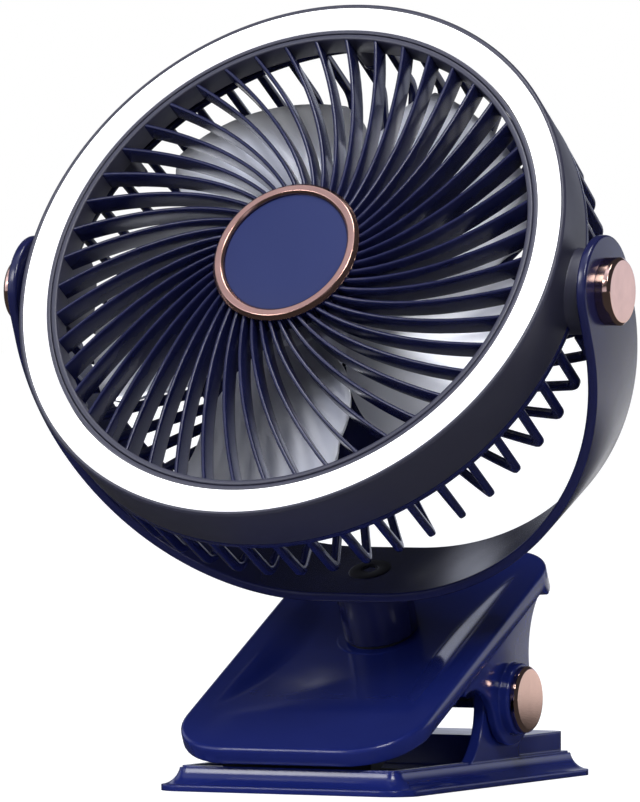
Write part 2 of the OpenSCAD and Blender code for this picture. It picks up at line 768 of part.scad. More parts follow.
module pod_shell() {
    in_r = pod_r - pod_wall;
    floor_z = pod_back_z + pod_wall;
    edge_r = 2.5;
    color("#1a2052") at_head() difference() {
        union() {
            difference() {
                rotate_extrude($fn = 180) {
                    translate([0, pod_back_z + edge_r]) square([pod_r, pod_depth - edge_r]);
                    translate([0, pod_back_z]) square([pod_r - edge_r, edge_r + 1]);
                    translate([pod_r - edge_r, pod_back_z + edge_r]) circle(edge_r);
                }
                cylinder_between(floor_z, cage_back_z + 1, in_r);
            }
            around(pod_screw_angles, pod_screw_r)
                cylinder_between(floor_z - pod_wall / 2, cage_back_z, pod_boss_r);
            // block on the floor that holds the charging socket
            translate([-usb_half_w - 2.5, -in_r - 0.5, floor_z - 0.5])
                cube([2 * usb_half_w + 5, usb_deep + 0.5, pcb_z - air - floor_z + 0.5]);
        }
        around(pod_screw_angles, pod_screw_r) cylinder_between(cage_back_z - 9, cage_back_z + 1, 1.3);
        button_places() cylinder_between(pod_back_z - 1, floor_z + 1, button_r + fit);
        translate([0, lens_y, 0]) lens_plan(pod_back_z - 1, floor_z + 1, fit);
        usb_place() translate([-usb_half_w - fit, -usb_r - fit, -12])
            cube([2 * (usb_half_w + fit), 2 * (usb_r + fit), 14]);
    }
}

module pod_screws() {
    color("#8d9098") at_head() around(pod_screw_angles, pod_screw_r) {
        cylinder_between(cage_back_z - 8, cage_back_z + cage_wall, 1.3);
        cylinder_between(cage_back_z + cage_wall, cage_back_z + cage_wall + 1.6, 2.6);
    }
}

cell_d = 18.4;
cell_l = 65;
cell_z = cage_back_z - 0.4 - cell_d / 2;
module battery_cells() {
    color("#3d7ea6") at_head() for (i = [-1:1])
        translate([i * (cell_d + 0.3), -cell_l / 2, cell_z]) rotate([-90, 0, 0]) cylinder(h = cell_l, r = cell_d / 2);
}

// Cradle under the cells, on the back of the control board's side
module cell_holder() {
    w = 3 * cell_d - 2;
    l = 34;
    depth = 5;
    color("#2a2c33") at_head() difference() {
        translate([-w / 2, -l / 2, cell_z - cell_d / 2 - 1]) cube([w, l, depth]);
        for (i = [-1:1])
            translate([i * (cell_d + 0.3), -l / 2 - 1, cell_z]) rotate([-90, 0, 0])
                cylinder(h = l + 2, r = cell_d / 2 + fit);
    }
}

pcb_t = 1.4;
pcb_z = cell_z - cell_d / 2 - 1 - pcb_t;
module control_board() {
    switch_t = pcb_z - (pod_back_z + pod_wall) - button_flange_t - button_travel - air;
    color("#1f5c3a") at_head() {
        difference() {
            cylinder_between(pcb_z, pcb_z + pcb_t, pod_r - pod_wall - 1);
            around(pod_screw_angles, pod_screw_r) cylinder_between(pcb_z - 1, pcb_z + 3, pod_boss_r + air);
        }
        button_places() cylinder_between(pcb_z - switch_t, pcb_z, 2);
    }
}

button_r = 6.5;
button_travel = 0.8;
button_flange_t = 1;
fan_button_y = 18;
light_button_y = -1;
lens_y = -18;
module button_places() for (y = [fan_button_y, light_button_y]) translate([0, y, 0]) children();

module button() {
    floor_z = pod_back_z + pod_wall;
    cylinder_between(pod_back_z - 1.2, floor_z + 0.1, button_r);
    cylinder_between(floor_z + 0.05, floor_z + 0.05 + button_flange_t, button_r + 1.2);
}
module fan_button() color("#262c60") at_head() translate([0, fan_button_y, 0]) button();
module light_button() color("#262c60") at_head() translate([0, light_button_y, 0]) button();

module lens_plan(z0, z1, grow) {
    half = 8;
    r = 1.6 + grow;
    translate([0, 0, z0]) linear_extrude(z1 - z0) {
        for (s = [-1, 1]) translate([s * half, 0]) circle(r, $fn = 48);
        translate([-half, -r]) square([2 * half, 2 * r]);
    }
}
module level_lens() {
    color("#e6ecf2") at_head() translate([0, lens_y, 0]) lens_plan(pod_back_z + 0.2, pod_back_z + pod_wall + 0.6, 0);
}

// USB-C socket low on the pod's side, its mouth facing outwards
usb_deep = 8;
module usb_place() translate([0, -pod_r, pcb_z - 2.3]) rotate([90, 0, 0]) children();
usb_r = 1.6;
usb_half_w = 4.5;
module usb_body(out, deep, shrink) {
    r = usb_r - shrink;
    half = usb_half_w - usb_r;
    translate([0, 0, -deep]) linear_extrude(deep + out) {
        for (s = [-1, 1]) translate([s * half, 0]) circle(r, $fn = 48);
        translate([-half, -r]) square([2 * half, 2 * r]);
    }
}
module usb_socket() {
    color("#b4b8c0") at_head() usb_place() difference() {
        usb_body(-0.6, usb_deep, 0);
        usb_body(1, usb_deep - 1, 0.35);
    }
}

// ---------- motor and fan ----------

motor_r = motor_d / 2;
motor_back_z = cage_back_z + cage_wall;
motor_front_z = motor_back_z + motor_l;
motor_wall = 1;
bush_l = 4;
bush_r = shaft_d / 2 + 2;

module motor_case() {
    color("#8f939b") at_head() difference() {
        cylinder_between(motor_back_z, motor_front_z, motor_r);
        cylinder_between(motor_back_z + motor_wall, motor_front_z - motor_wall, motor_r - motor_wall);
        cylinder_between(motor_back_z - 1, motor_front_z + 1, bush_r);
    }
}

module motor_bushes() {
    color("#b08d57") at_head() for (z = [motor_back_z, motor_front_z - bush_l])
        band(shaft_d / 2 + fit, bush_r, z, z + bush_l);
}

module motor_magnets() {
    color("#3a3a40") at_head() intersection() {
        band(motor_r - motor_wall - 2, motor_r - motor_wall, motor_back_z + 2.2, motor_front_z - 2.2);
        for (a = [0, 90]) rotate([0, 0, a]) translate([-motor_r, -motor_r / 2, motor_back_z]) cube([motor_d, motor_r, motor_l]);
    }
}

module motor_armature() {
    color("#b56a3c") at_head() band(shaft_d / 2, motor_r - motor_wall - 2.6, motor_back_z + bush_l + 0.6,
        motor_front_z - bush_l - 0.6);
}

// The fan's hub is a cup that covers the front of the motor
hub_overlap = 7;
fan_back_z = motor_front_z - hub_overlap;
fan_hub_h = 16;
fan_top_z = fan_back_z + fan_hub_h;
module motor_shaft() {
    color("#c9ccd2") at_head() cylinder_between(motor_back_z - 1.6, fan_top_z - 1.4, shaft_d / 2);
}

module shaft_clip() {
    color("#55585f") at_head() band(shaft_d / 2, shaft_d / 2 + 2, motor_back_z - 1.5, motor_back_z - 0.5);
}

// Turn of the whole rotor at rest, in degrees
blade_turn = 48;
// One blade: a curved plate at its pitch, trimmed to the blade's outline
module blade() {
    tip_r = blade_d / 2;
    curve_r = 100;
    half_w = tip_r / 2;
    root_r = fan_hub_d / 2 - 1.5;
    intersection() {
        translate([0, 0, fan_back_z + fan_hub_h * 0.7]) rotate([0, 90, 0]) rotate([0, 0, blade_pitch])
            translate([0, 0, root_r]) linear_extrude(tip_r - root_r + 2)
                translate([curve_r - 2.6, 0]) difference() {
                    circle(curve_r, $fn = 180);
                    circle(curve_r - blade_t, $fn = 180);
                    translate([0, -curve_r - 1]) square([curve_r + 1, 2 * curve_r + 2]);
                    for (s = [-1, 1]) translate([-curve_r - 1, s * (half_w + curve_r) - curve_r])
                        square([2 * curve_r, 2 * curve_r]);
                }
        translate([0, 0, fan_back_z - fan_hub_h]) linear_extrude(3 * fan_hub_h) blade_plan(root_r, tip_r);
    }
}

// A broad petal with blunt corners, seen along the axis
module blade_plan(root_r, tip_r) {
    root_w = 16;
    intersection() {
        circle(tip_r, $fn = 180);
        union() {
            translate([root_r - 2, -root_w / 2]) square([tip_r / 2, root_w]);
            translate([tip_r * 0.63, 0]) circle(tip_r * 0.39, $fn = 120);
            for (a = [-14, 14]) rotate([0, 0, a]) translate([tip_r * 0.82, 0]) circle(tip_r * 0.205, $fn = 120);
        }
    }
}

module fan_rotor() {
    hub_r_out = fan_hub_d / 2;
    color("#aeb4c6") at_head() {
        for (i = [0:blade_count - 1]) rotate([0, 0, i * 360 / blade_count + blade_turn]) blade();
        difference() {
            cylinder_between(fan_back_z, fan_top_z, hub_r_out);
            difference() {
                cylinder_between(fan_back_z - 1, fan_top_z - 2, hub_r_out - 1.8);
                cylinder_between(motor_front_z + 1.2, fan_top_z, shaft_d / 2 + 3);
            }
            cylinder_between(fan_back_z - 1, fan_top_z - 1.4, shaft_d / 2);
        }
    }
}

lower_jaw();
lower_jaw_pad();
foot_pads();
hinge_pin();
pin_cap_left();
pin_cap_right();
torsion_spring();
upper_jaw();
upper_jaw_pad();
swivel_washer();
yoke();
swivel_post();
swivel_bolt();
swivel_nut();
tilt_cap_left();
tilt_cap_right();
tilt_bolt_left();
tilt_bolt_right();
tilt_washers();
tilt_inserts();
barrel();
light_ring();
led_board();
led_chips();
front_grille();
hub_trim();
hub_disc();
rear_cage();
cage_screws();
pod_shell();
pod_screws();
battery_cells();
cell_holder();
control_board();
usb_socket();
level_lens();
fan_button();
light_button();
motor_case();
motor_bushes();
motor_magnets();
fan_rotor();
motor_shaft();
motor_armature();
shaft_clip();
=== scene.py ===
# %% [markdown]
# # A clip-on camping fan with a light ring
# The fan is a glossy navy table fan: a round head with a lit ring, a U-shaped yoke, and a spring clip with a flat base.
# Before each step a few lines say what the part is on the real fan, how it could be made, and why it is made this way.

# %% [markdown]
# ## Load the solid model
# The solid model has the true sizes, the joints and the hidden parts. The fan could be modelled without it, but then
# nothing would show that it fits.

import math

import bmesh
import bpy
import numpy as np
from mathutils import Matrix, Vector


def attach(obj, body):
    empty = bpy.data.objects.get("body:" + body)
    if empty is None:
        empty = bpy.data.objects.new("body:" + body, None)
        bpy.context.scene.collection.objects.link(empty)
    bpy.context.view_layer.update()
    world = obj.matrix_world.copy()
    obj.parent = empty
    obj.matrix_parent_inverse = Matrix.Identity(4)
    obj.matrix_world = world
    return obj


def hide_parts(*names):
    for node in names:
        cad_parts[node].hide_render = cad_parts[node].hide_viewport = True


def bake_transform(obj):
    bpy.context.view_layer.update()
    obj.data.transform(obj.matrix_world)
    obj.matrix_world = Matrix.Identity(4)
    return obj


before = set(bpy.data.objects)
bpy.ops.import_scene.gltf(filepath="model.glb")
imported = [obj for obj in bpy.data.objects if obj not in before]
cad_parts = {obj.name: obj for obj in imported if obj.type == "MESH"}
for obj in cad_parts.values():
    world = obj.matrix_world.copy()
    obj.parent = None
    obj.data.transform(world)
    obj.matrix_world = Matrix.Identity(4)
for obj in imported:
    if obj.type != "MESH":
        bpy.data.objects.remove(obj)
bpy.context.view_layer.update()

# %% [markdown]
# ## Frames
# The head leans back in the yoke, the yoke leans on the jaw, and the jaw slopes down to its nose. Every point could be
# worked out in the room's axes, but each part is simplest in its own. So a frame, a matrix, turns the millimetres of
# one part into the room's metres.

# %% Frames of the moving parts
MM = 0.001
PIVOT = Vector((0, -44.3546, 152.1947))  # middle of the tilt axis
SEAT = Vector((0, 3.0302, 45.7667))  # middle of the swivel's seat
PIN = Vector((0, 13, 26))  # middle of the clip's pin
JAW = Vector((0, -69.5, 13.4))  # front edge of the jaw's top
HEAD_TILT, SEAT_LEAN, JAW_LEAN = 60, 24, 26.5  # degrees
SEAT_TO_PIVOT = 116.5


def at(origin, turn=0.0):
    """Matrix of a frame that is turned about X by turn degrees."""
    return Matrix.Scale(MM, 4) @ Matrix.Translation(origin) @ Matrix.Rotation(math.radians(turn), 4, "X")


HEAD = at(PIVOT, HEAD_TILT)
SEAT_FRAME = at(SEAT, SEAT_LEAN)
YOKE = SEAT_FRAME @ Matrix.Translation((0, 0, SEAT_TO_PIVOT))
JAW_FRAME = at(JAW, JAW_LEAN)
PIN_FRAME = at(PIN)
ALONG_X = Matrix.Rotation(math.radians(90), 4, "Y")
RIGHT_SIDE, LEFT_SIDE = Matrix.Identity(4), Matrix.Rotation(math.pi, 4, "Z")
print("frames ready, tilt axis at", [round(c, 1) for c in PIVOT])

# %% [markdown]
# ## Camera
# A fan this small is best seen from far off through a long lens, which keeps its circles true. A wide lens close by
# would swell the ring. The camera stands 26 degrees to one side, almost level, and is aimed by where the tilt axis
# falls in the frame, because a point is easier to place than an angle.

# %% Camera
PICTURE_HEIGHT, SENSOR_HEIGHT = 802, 36.0  # pixels, millimetres
FOCAL_LENGTH, DISTANCE = 9000.0, 2743.9  # pixels, millimetres
yaw, dip = math.radians(25.8), math.radians(0.9)
aside, below = 1.372, 33.54  # from the tilt axis to the middle of the frame
right = Vector((math.cos(yaw), math.sin(yaw), 0))
forward = Vector((-math.sin(yaw) * math.cos(dip), math.cos(yaw) * math.cos(dip), -math.sin(dip)))
upward = right.cross(forward)
eye = PIVOT + right * aside - upward * below - forward * DISTANCE

camera_data = bpy.data.cameras.new("camera")
camera_data.sensor_fit = "VERTICAL"
camera_data.sensor_height = SENSOR_HEIGHT
camera_data.lens = FOCAL_LENGTH / PICTURE_HEIGHT * SENSOR_HEIGHT
camera_data.clip_end = 100
camera = bpy.data.objects.new("camera", camera_data)
camera.matrix_world = Matrix.Translation(eye * MM) @ Matrix((right, upward, -forward)).transposed().to_4x4()
bpy.context.scene.collection.objects.link(camera)
bpy.context.scene.camera = camera
bpy.context.scene.view_settings.view_transform = "Standard"
print("camera at", [round(c, 3) for c in camera.matrix_world.translation], "lens", round(camera_data.lens, 1))

# %% [markdown]
# ## Node helpers
# A material is a tree of nodes. It can be wired by hand in the shader editor, but a script that does it is shorter and
# can be run again. `add` makes one node and fills its inputs, with plain values or with links from other nodes.


# %% Node helpers
def fill(tree, node, inputs):
    """Fills inputs, by name or number, with a plain value or with a link from a socket."""
    for key, value in inputs.items():
        if isinstance(value, bpy.types.NodeSocket):
            tree.links.new(value, node.inputs[key])
        else:
            node.inputs[key].default_value = value


def add(tree, kind, inputs=None, **settings):
    """A new node of one kind."""
    made = tree.nodes.new("ShaderNode" + kind)
    for key, value in settings.items():
        setattr(made, key, value)
    fill(tree, made, inputs or {})
    return made


def new_group(name, inputs, outputs):
    """An empty shader group: inputs have their usual values, outputs their kinds."""
    group = bpy.data.node_groups.new(name, "ShaderNodeTree")
    for label, usual in inputs.items():
        kind = "NodeSocketVector" if isinstance(usual, tuple) else "NodeSocketFloat"
        group.interface.new_socket(label, in_out="INPUT", socket_type=kind).default_value = usual
    for label, kind in outputs.items():
        group.interface.new_socket(label, in_out="OUTPUT", socket_type="NodeSocket" + kind)
    return group, group.nodes.new("NodeGroupInput"), group.nodes.new("NodeGroupOutput")


print("helpers for nodes ready")


# %% Helpers for the nodes that are used most
def math_node(tree, operation, a, b, c=0.0):
    return add(tree, "Math", {0: a, 1: b, 2: c}, operation=operation).outputs[0]


def dot(tree, a, b):
    return add(tree, "VectorMath", {0: a, 1: b}, operation="DOT_PRODUCT").outputs["Value"]


def remap(tree, value, low, high, to_low, to_high):
    """A value moved from one range to another, clamped."""
    ends = {"Value": value, "From Min": low, "From Max": high, "To Min": to_low, "To Max": to_high}
    return add(tree, "MapRange", ends).outputs[0]


def mix(tree, factor, a, b, **settings):
    """A colour between a and b."""
    return add(tree, "Mix", {"Factor": factor, "A": a, "B": b}, data_type="RGBA", **settings).outputs["Result"]


def grey(tree, level):
    return add(tree, "CombineColor", {0: level, 1: level, 2: level}).outputs[0]


def noise(tree, spot, scale, detail, roughness=0.5):
    inputs = {"Vector": spot, "Scale": scale, "Detail": detail, "Roughness": roughness}
    return add(tree, "TexNoise", inputs).outputs[0]


def bump(tree, height, strength, depth, normal):
    inputs = {"Strength": strength, "Distance": depth, "Height": height, "Normal": normal}
    return add(tree, "Bump", inputs).outputs[0]


print("helpers for sums, colours, noise and bumps ready")

# %% [markdown]
# ## Shared surface effects
# Moulded plastic is never perfectly smooth: a slow waviness bends its reflections, a fine grain softens them, its edges
# are rounded, and handling leaves smudges. Images could be wrapped round every part, but noise follows any shape and
# shows no seam. All plastics need these effects, so they are one group, with its own values in each material.

# %% Moulded surface group
WAVE_DEPTH, GRAIN_DEPTH = 0.0004, 0.00005  # metres
EDGE_SAMPLES = 6


def moulded_group():
    group, ins, outs = new_group(
        "moulded surface",
        {"Radius": 0.0006, "Waves": 0.3, "Grain": 0.1, "Grain Scale": 2500.0, "Roughness": 0.2, "Smudge": 0.08},
        {"Normal": "Vector", "Roughness": "Float", "Edge": "Float", "Cloud": "Float"})
    take = ins.outputs
    spot = add(group, "TexCoord").outputs["Object"]
    round_edge = add(group, "Bevel", {"Radius": take["Radius"]}, samples=EDGE_SAMPLES).outputs[0]
    waves = noise(group, spot, 55.0, 1.0)
    grain = noise(group, spot, take["Grain Scale"], 2.0)
    wavy = bump(group, waves, take["Waves"], WAVE_DEPTH, round_edge)
    fine = bump(group, grain, take["Grain"], GRAIN_DEPTH, wavy)
    cloud = remap(group, noise(group, spot, 38.0, 5.0, 0.62), 0.38, 0.68, 0.0, 1.0)
    rough = math_node(group, "MULTIPLY_ADD", cloud, take["Smudge"], take["Roughness"])
    turned = dot(group, round_edge, add(group, "NewGeometry").outputs["Normal"])
    edge = remap(group, turned, 0.995, 0.8, 0.0, 1.0)
    fill(group, outs, {"Normal": fine, "Roughness": rough, "Edge": edge, "Cloud": cloud})
    return group


moulded = moulded_group()
print("group:", moulded.name)

# %% [markdown]
# Turned and drawn metal has fine scratches that all run one way. They could be cut into the mesh, at a cost of millions
# of faces. A noise that is stretched along one axis looks the same, and it can be turned for each part.

# %% Turned metal group
SCRATCH_DEPTH = 0.00005


def metal_group():
    group, ins, outs = new_group(
        "turned metal",
        {"Radius": 0.0003, "Stretch": (1.0, 1.0, 12.0), "Strength": 0.2, "Roughness": 0.2, "Spread": 0.12},
        {"Normal": "Vector", "Roughness": "Float", "Tone": "Float"})
    take = ins.outputs
    spot = add(group, "TexCoord").outputs["Object"]
    stretched = add(group, "VectorMath", {0: spot, 1: take["Stretch"]}, operation="MULTIPLY").outputs[0]
    scratches = noise(group, stretched, 900.0, 3.0)
    round_edge = add(group, "Bevel", {"Radius": take["Radius"]}, samples=EDGE_SAMPLES).outputs[0]
    scratched = bump(group, scratches, take["Strength"], SCRATCH_DEPTH, round_edge)
    cloud = noise(group, spot, 120.0, 4.0)
    rough = math_node(group, "MULTIPLY_ADD", cloud, take["Spread"], take["Roughness"])
    fill(group, outs, {"Normal": scratched, "Roughness": rough, "Tone": remap(group, cloud, 0.35, 0.7, 0.88, 1.0)})
    return group


metal = metal_group()
print("group:", metal.name)


# %% Placing a group in a material
def new_material(name):
    made = bpy.data.materials.new(name)
    made.use_nodes = True
    return made, made.node_tree, made.node_tree.nodes["Principled BSDF"]


def use(tree, group, shader, inputs):
    """Places a group, and wires its normal and roughness to the shader."""
    surface = add(tree, "Group", node_tree=group)
    fill(tree, surface, inputs)
    fill(tree, shader, {"Normal": surface.outputs["Normal"], "Roughness": surface.outputs["Roughness"]})
    return surface.outputs


print("groups can be placed")

# %% [markdown]
# ## Plastics
# The fan is moulded from a few plastics: gloss navy for the base, the jaw and the cage, dark satin for the barrel, pale
# pearly plastic for the blades. One colour with one gloss would look like wax. Each colour is therefore a shade lighter
# on its edges and in its smudges, and every part gets its own gloss.

# %% Plastic materials
EDGE_GAIN, EDGE_LIFT, SMUDGE_SHARE = 2.2, 0.02, 0.35


def plastic(name, colour, roughness, tint=0.08, radius=0.0006, waves=0.25, grain=0.06, grain_scale=2500.0,
            smudge=0.08, metallic=0.0, specular=0.5):
    made, tree, shader = new_material(name)
    surface = use(tree, moulded, shader, {"Radius": radius, "Waves": waves, "Grain": grain,
                                          "Grain Scale": grain_scale, "Roughness": roughness, "Smudge": smudge})
    # edges a shade lighter; with a strong tint, as on the grille, this is a painted highlight on the edges
    lighter = [min(1.0, c * (1 + EDGE_GAIN * tint) + EDGE_LIFT * tint) for c in colour]
    smudges = math_node(tree, "MULTIPLY", surface["Cloud"], SMUDGE_SHARE)
    mask = math_node(tree, "MAXIMUM", surface["Edge"], smudges)
    fill(tree, shader, {"Base Color": mix(tree, mask, (*colour, 1), (*lighter, 1)),
                        "Specular IOR Level": specular, "Metallic": metallic})
    return made


navy_gloss = plastic("navy_gloss", (0.0110, 0.0195, 0.150), 0.12, radius=0.0009, waves=0.2, grain=0.012)
# a darker copy of navy_gloss for the yoke and its post: painted shade
shaded_navy = plastic("shaded_navy", (0.0100, 0.0120, 0.060), 0.17, radius=0.0, waves=0.12, grain=0.002)
# the grille's strong edge tint paints a highlight along the rib edges
grille_navy = plastic("grille_navy", (0.0060, 0.0075, 0.040), 0.17, radius=0.0005, waves=0.1, tint=0.5)
cage_navy = plastic("cage_navy", (0.0065, 0.0085, 0.048), 0.15, radius=0.0005, waves=0.1)
pod_navy = plastic("pod_navy", (0.009, 0.013, 0.080), 0.16, radius=0.0008)
button_navy = plastic("button_navy", (0.017, 0.024, 0.110), 0.30, radius=0.0005, grain=0.2)
hub_navy = plastic("hub_navy", (0.019, 0.028, 0.108), 0.42, radius=0.0004, grain=0.12, grain_scale=4000.0,
                   specular=0.22)
barrel_dark = plastic("barrel_dark", (0.024, 0.024, 0.048), 0.40, grain=0.05, waves=0.15, specular=0.85)
blade_plastic = plastic("blade_plastic", (0.90, 0.91, 0.96), 0.29, radius=0.0, grain=0.001, tint=0.04, waves=0.02,
                        metallic=0.6)
print("plastics of the shell ready")

# %% Rubber and inner plastics
dark_plastic = plastic("dark_plastic", (0.012, 0.012, 0.016), 0.42, radius=0.0004, grain=0.25)
pad_rubber = plastic("pad_rubber", (0.011, 0.011, 0.014), 0.62, radius=0.0004, grain=0.5, grain_scale=1800.0,
                     specular=0.35, smudge=0.15)
cell_sleeve = plastic("cell_sleeve", (0.03, 0.16, 0.34), 0.28, waves=0.5)
board_white = plastic("board_white", (0.78, 0.77, 0.72), 0.35, radius=0.0002, grain=0.1)
print("rubber and inner plastics ready")

# %% [markdown]
# ## Metals
# The caps and the trim are plated rose gold, and the hidden hardware is steel, brass and copper. A mirror finish would
# look drawn. The scratches and a tone that drifts a little make it look handled.


# %% Metal materials
def metallic(name, colour, roughness, spread=0.12, strength=0.15, stretch=(1, 1, 12), radius=0.0003):
    made, tree, shader = new_material(name)
    surface = use(tree, metal, shader, {"Radius": radius, "Stretch": stretch, "Strength": strength,
                                        "Roughness": roughness, "Spread": spread})
    shaded = mix(tree, 1.0, (*colour, 1), grey(tree, surface["Tone"]), blend_type="MULTIPLY")
    fill(tree, shader, {"Base Color": shaded, "Metallic": 1.0})
    return made


rose_gold = metallic("rose_gold", (0.86, 0.56, 0.46), 0.05, spread=0.06, strength=0.05, radius=0.0002)
# a darker copy of rose_gold for the hub trim: painted shade
shaded_rose_gold = metallic("shaded_rose_gold", (0.66, 0.39, 0.32), 0.14, spread=0.08, strength=0.08, radius=0.0002)
steel = metallic("steel", (0.56, 0.57, 0.60), 0.22)
spring_steel = metallic("spring_steel", (0.44, 0.45, 0.48), 0.30, stretch=(10, 1, 1))
black_steel = metallic("black_steel", (0.045, 0.045, 0.055), 0.32)
brass = metallic("brass", (0.78, 0.56, 0.26), 0.25)
copper = metallic("copper", (0.75, 0.38, 0.22), 0.30, strength=0.5, stretch=(1, 1, 30))
magnet = metallic("magnet", (0.16, 0.16, 0.18), 0.45, spread=0.2)
print("metals ready")

# %% [markdown]
# ## Light ring
# A ring of LEDs shines through an opal cover. Every LED could be a lamp, but the cover blends them into one even glow,
# so the cover itself glows. It is a little dimmer at its two edges, and it keeps a soft sheen.


# %% Diffuser material
def diffuser_material():
    made, tree, shader = new_material("light_diffuser")
    surface = use(tree, moulded, shader, {"Radius": 0.0005, "Waves": 0.1, "Grain": 0.1, "Roughness": 0.35})
    across = add(tree, "Attribute", attribute_name="ring_across").outputs["Fac"]
    glow = remap(tree, across, 0.0, 0.28, 0.72, 1.0)
    cloud = remap(tree, surface["Cloud"], 0.0, 1.0, 0.97, 1.0)
    strength = math_node(tree, "MULTIPLY", math_node(tree, "MULTIPLY", glow, cloud), 1.25)
    fill(tree, shader, {"Base Color": (0.85, 0.86, 0.88, 1), "Emission Color": (1.0, 1.0, 1.0, 1),
                        "Emission Strength": strength})
    return made


light_diffuser = diffuser_material()
print("light ring ready")

# %% [markdown]
# ## Lens, LED and circuit board
# These are small and mostly hidden. The lens over the level light and the LED chips only drift between two close
# tones. The board shows its tracks: they could be drawn one by one, but the borders of a cell pattern look like them.


# %% Lens and LED materials
def two_tone(name, surface_values, tone, other_tone, transmission=0.0):
    """A finish that drifts between two close colours."""
    made, tree, shader = new_material(name)
    surface = use(tree, moulded, shader, surface_values)
    fill(tree, shader, {"Base Color": mix(tree, surface["Cloud"], (*tone, 1), (*other_tone, 1)),
                        "Transmission Weight": transmission})
    return made


clear_lens = two_tone("clear_lens", {"Radius": 0.0004, "Waves": 0.2, "Grain": 0.1, "Roughness": 0.12},
                      (0.70, 0.74, 0.80), (0.80, 0.84, 0.90), transmission=0.55)
led_phosphor = two_tone("led_phosphor", {"Radius": 0.0002, "Waves": 0.0, "Grain": 0.2, "Roughness": 0.4},
                        (0.90, 0.78, 0.34), (0.95, 0.86, 0.50))
print("lens and LEDs ready")


# %% Circuit board material
def board_material():
    made, tree, shader = new_material("board_green")
    spot = add(tree, "TexCoord").outputs["Object"]
    cells = add(tree, "TexVoronoi", {"Vector": spot, "Scale": 420.0}, feature="DISTANCE_TO_EDGE",
                voronoi_dimensions="3D").outputs["Distance"]
    tracks = remap(tree, cells, 0.04, 0.07, 1.0, 0.0)
    surface = use(tree, moulded, shader, {"Radius": 0.0002, "Waves": 0.0, "Grain": 0.1, "Roughness": 0.28})
    fill(tree, shader, {"Base Color": mix(tree, tracks, (0.010, 0.085, 0.040, 1), (0.022, 0.150, 0.070, 1)),
                        "Normal": bump(tree, tracks, 0.3, 0.0001, surface["Normal"])})
    return made


board_green = board_material()
print("board ready")

# %% [markdown]
# ## Shape helpers
# Most parts of the fan are turned on an axis or keep one section along a path. Boxes could be subdivided and pushed
# into shape, but a section keeps its exact size. A `Shape` collects strips of faces, and the corners of a section are
# rounded first, because a moulded corner is never sharp and its highlight shows that.

# %% Rounded sections
NEARLY_STRAIGHT, LARGEST_CUT = 1.5, 0.48  # half a corner's angle in radians, share of an edge


def rounded(corners, radius=0.5, steps=4):
    """Rounds the corners of a closed outline. A corner is (a, b) or (a, b, its own radius)."""
    out = []
    for i, corner in enumerate(corners):
        p = np.array(corner[:2], float)
        r = corner[2] if len(corner) > 2 else radius
        a = np.array(corners[i - 1][:2], float) - p
        b = np.array(corners[(i + 1) % len(corners)][:2], float) - p
        la, lb = np.linalg.norm(a), np.linalg.norm(b)
        a, b = a / la, b / lb
        half = math.acos(max(-1.0, min(1.0, float(a @ b)))) / 2
        if r <= 0 or half > NEARLY_STRAIGHT:
            out.append(p)
            continue
        cut = min(r / math.tan(half), LARGEST_CUT * la, LARGEST_CUT * lb)
        centre = p + (a + b) / np.linalg.norm(a + b) * cut / math.cos(half)
        start, end = p + a * cut - centre, p + b * cut - centre
        span = math.pi - 2 * half
        for k in range(steps + 1):
            t = k / steps
            out.append(centre + (math.sin((1 - t) * span) * start + math.sin(t * span) * end) / math.sin(span))
    return np.array(out)


print("a square with rounded corners has", len(rounded([(0, 0), (9, 0), (9, 9), (0, 9)])), "points")


# %% Shape builder
class Shape:
    """Points and faces of one part, in the millimetres of its own frame."""

    def __init__(self):
        self.points, self.faces, self.values = [], [], []

    def rows(self, rows, around=True, along=False, caps=True, value=None):
        """Joins rows of points; around closes each row, along joins the last row to the first."""
        base, m, n = len(self.points), len(rows[0]), len(rows)
        for row in rows:
            self.points.extend(map(tuple, np.asarray(row, float)))
            self.values.extend([0.0] * m if value is None else value)
        for i in range(n if along else n - 1):
            for j in range(m if around else m - 1):
                a, b = base + i * m, base + ((i + 1) % n) * m
                k = (j + 1) % m
                self.faces.append((a + j, a + k, b + k, b + j))
        if caps and around and not along:
            self.faces.append(tuple(base + j for j in range(m)))
            self.faces.append(tuple(base + (n - 1) * m + j for j in range(m)))
        return self

    def lathe(self, section, count=192, turn=None, value=None):
        """Turns a section of (radius, height) about the frame's Z; turn is a matrix for another axis."""
        section = np.asarray(section, float)
        rows = []
        for k in range(count):
            a = math.radians(360.0 * k / count)
            row = np.column_stack([section[:, 0] * math.cos(a), section[:, 0] * math.sin(a), section[:, 1]])
            if turn is not None:
                row = np.array([turn @ Vector(p) for p in row])
            rows.append(row)
        return self.rows(rows, along=True, value=value)

    def sweep(self, path, across, up, sections, caps=True):
        """Carries a section along a path; across and up are the section's two directions at each point."""
        rows = []
        for i, p in enumerate(path):
            s = sections[i] if isinstance(sections, list) else sections
            rows.append(np.asarray(p) + s[:, :1] * np.asarray(across[i]) + s[:, 1:] * np.asarray(up[i]))
        return self.rows(rows, caps=caps)


print("a turned disc has", len(Shape().lathe([(0, 0), (9, 0), (9, 2), (0, 2)], 32).faces), "faces")

# %% From a shape to an object
WELD_DISTANCE = 2e-6  # metres


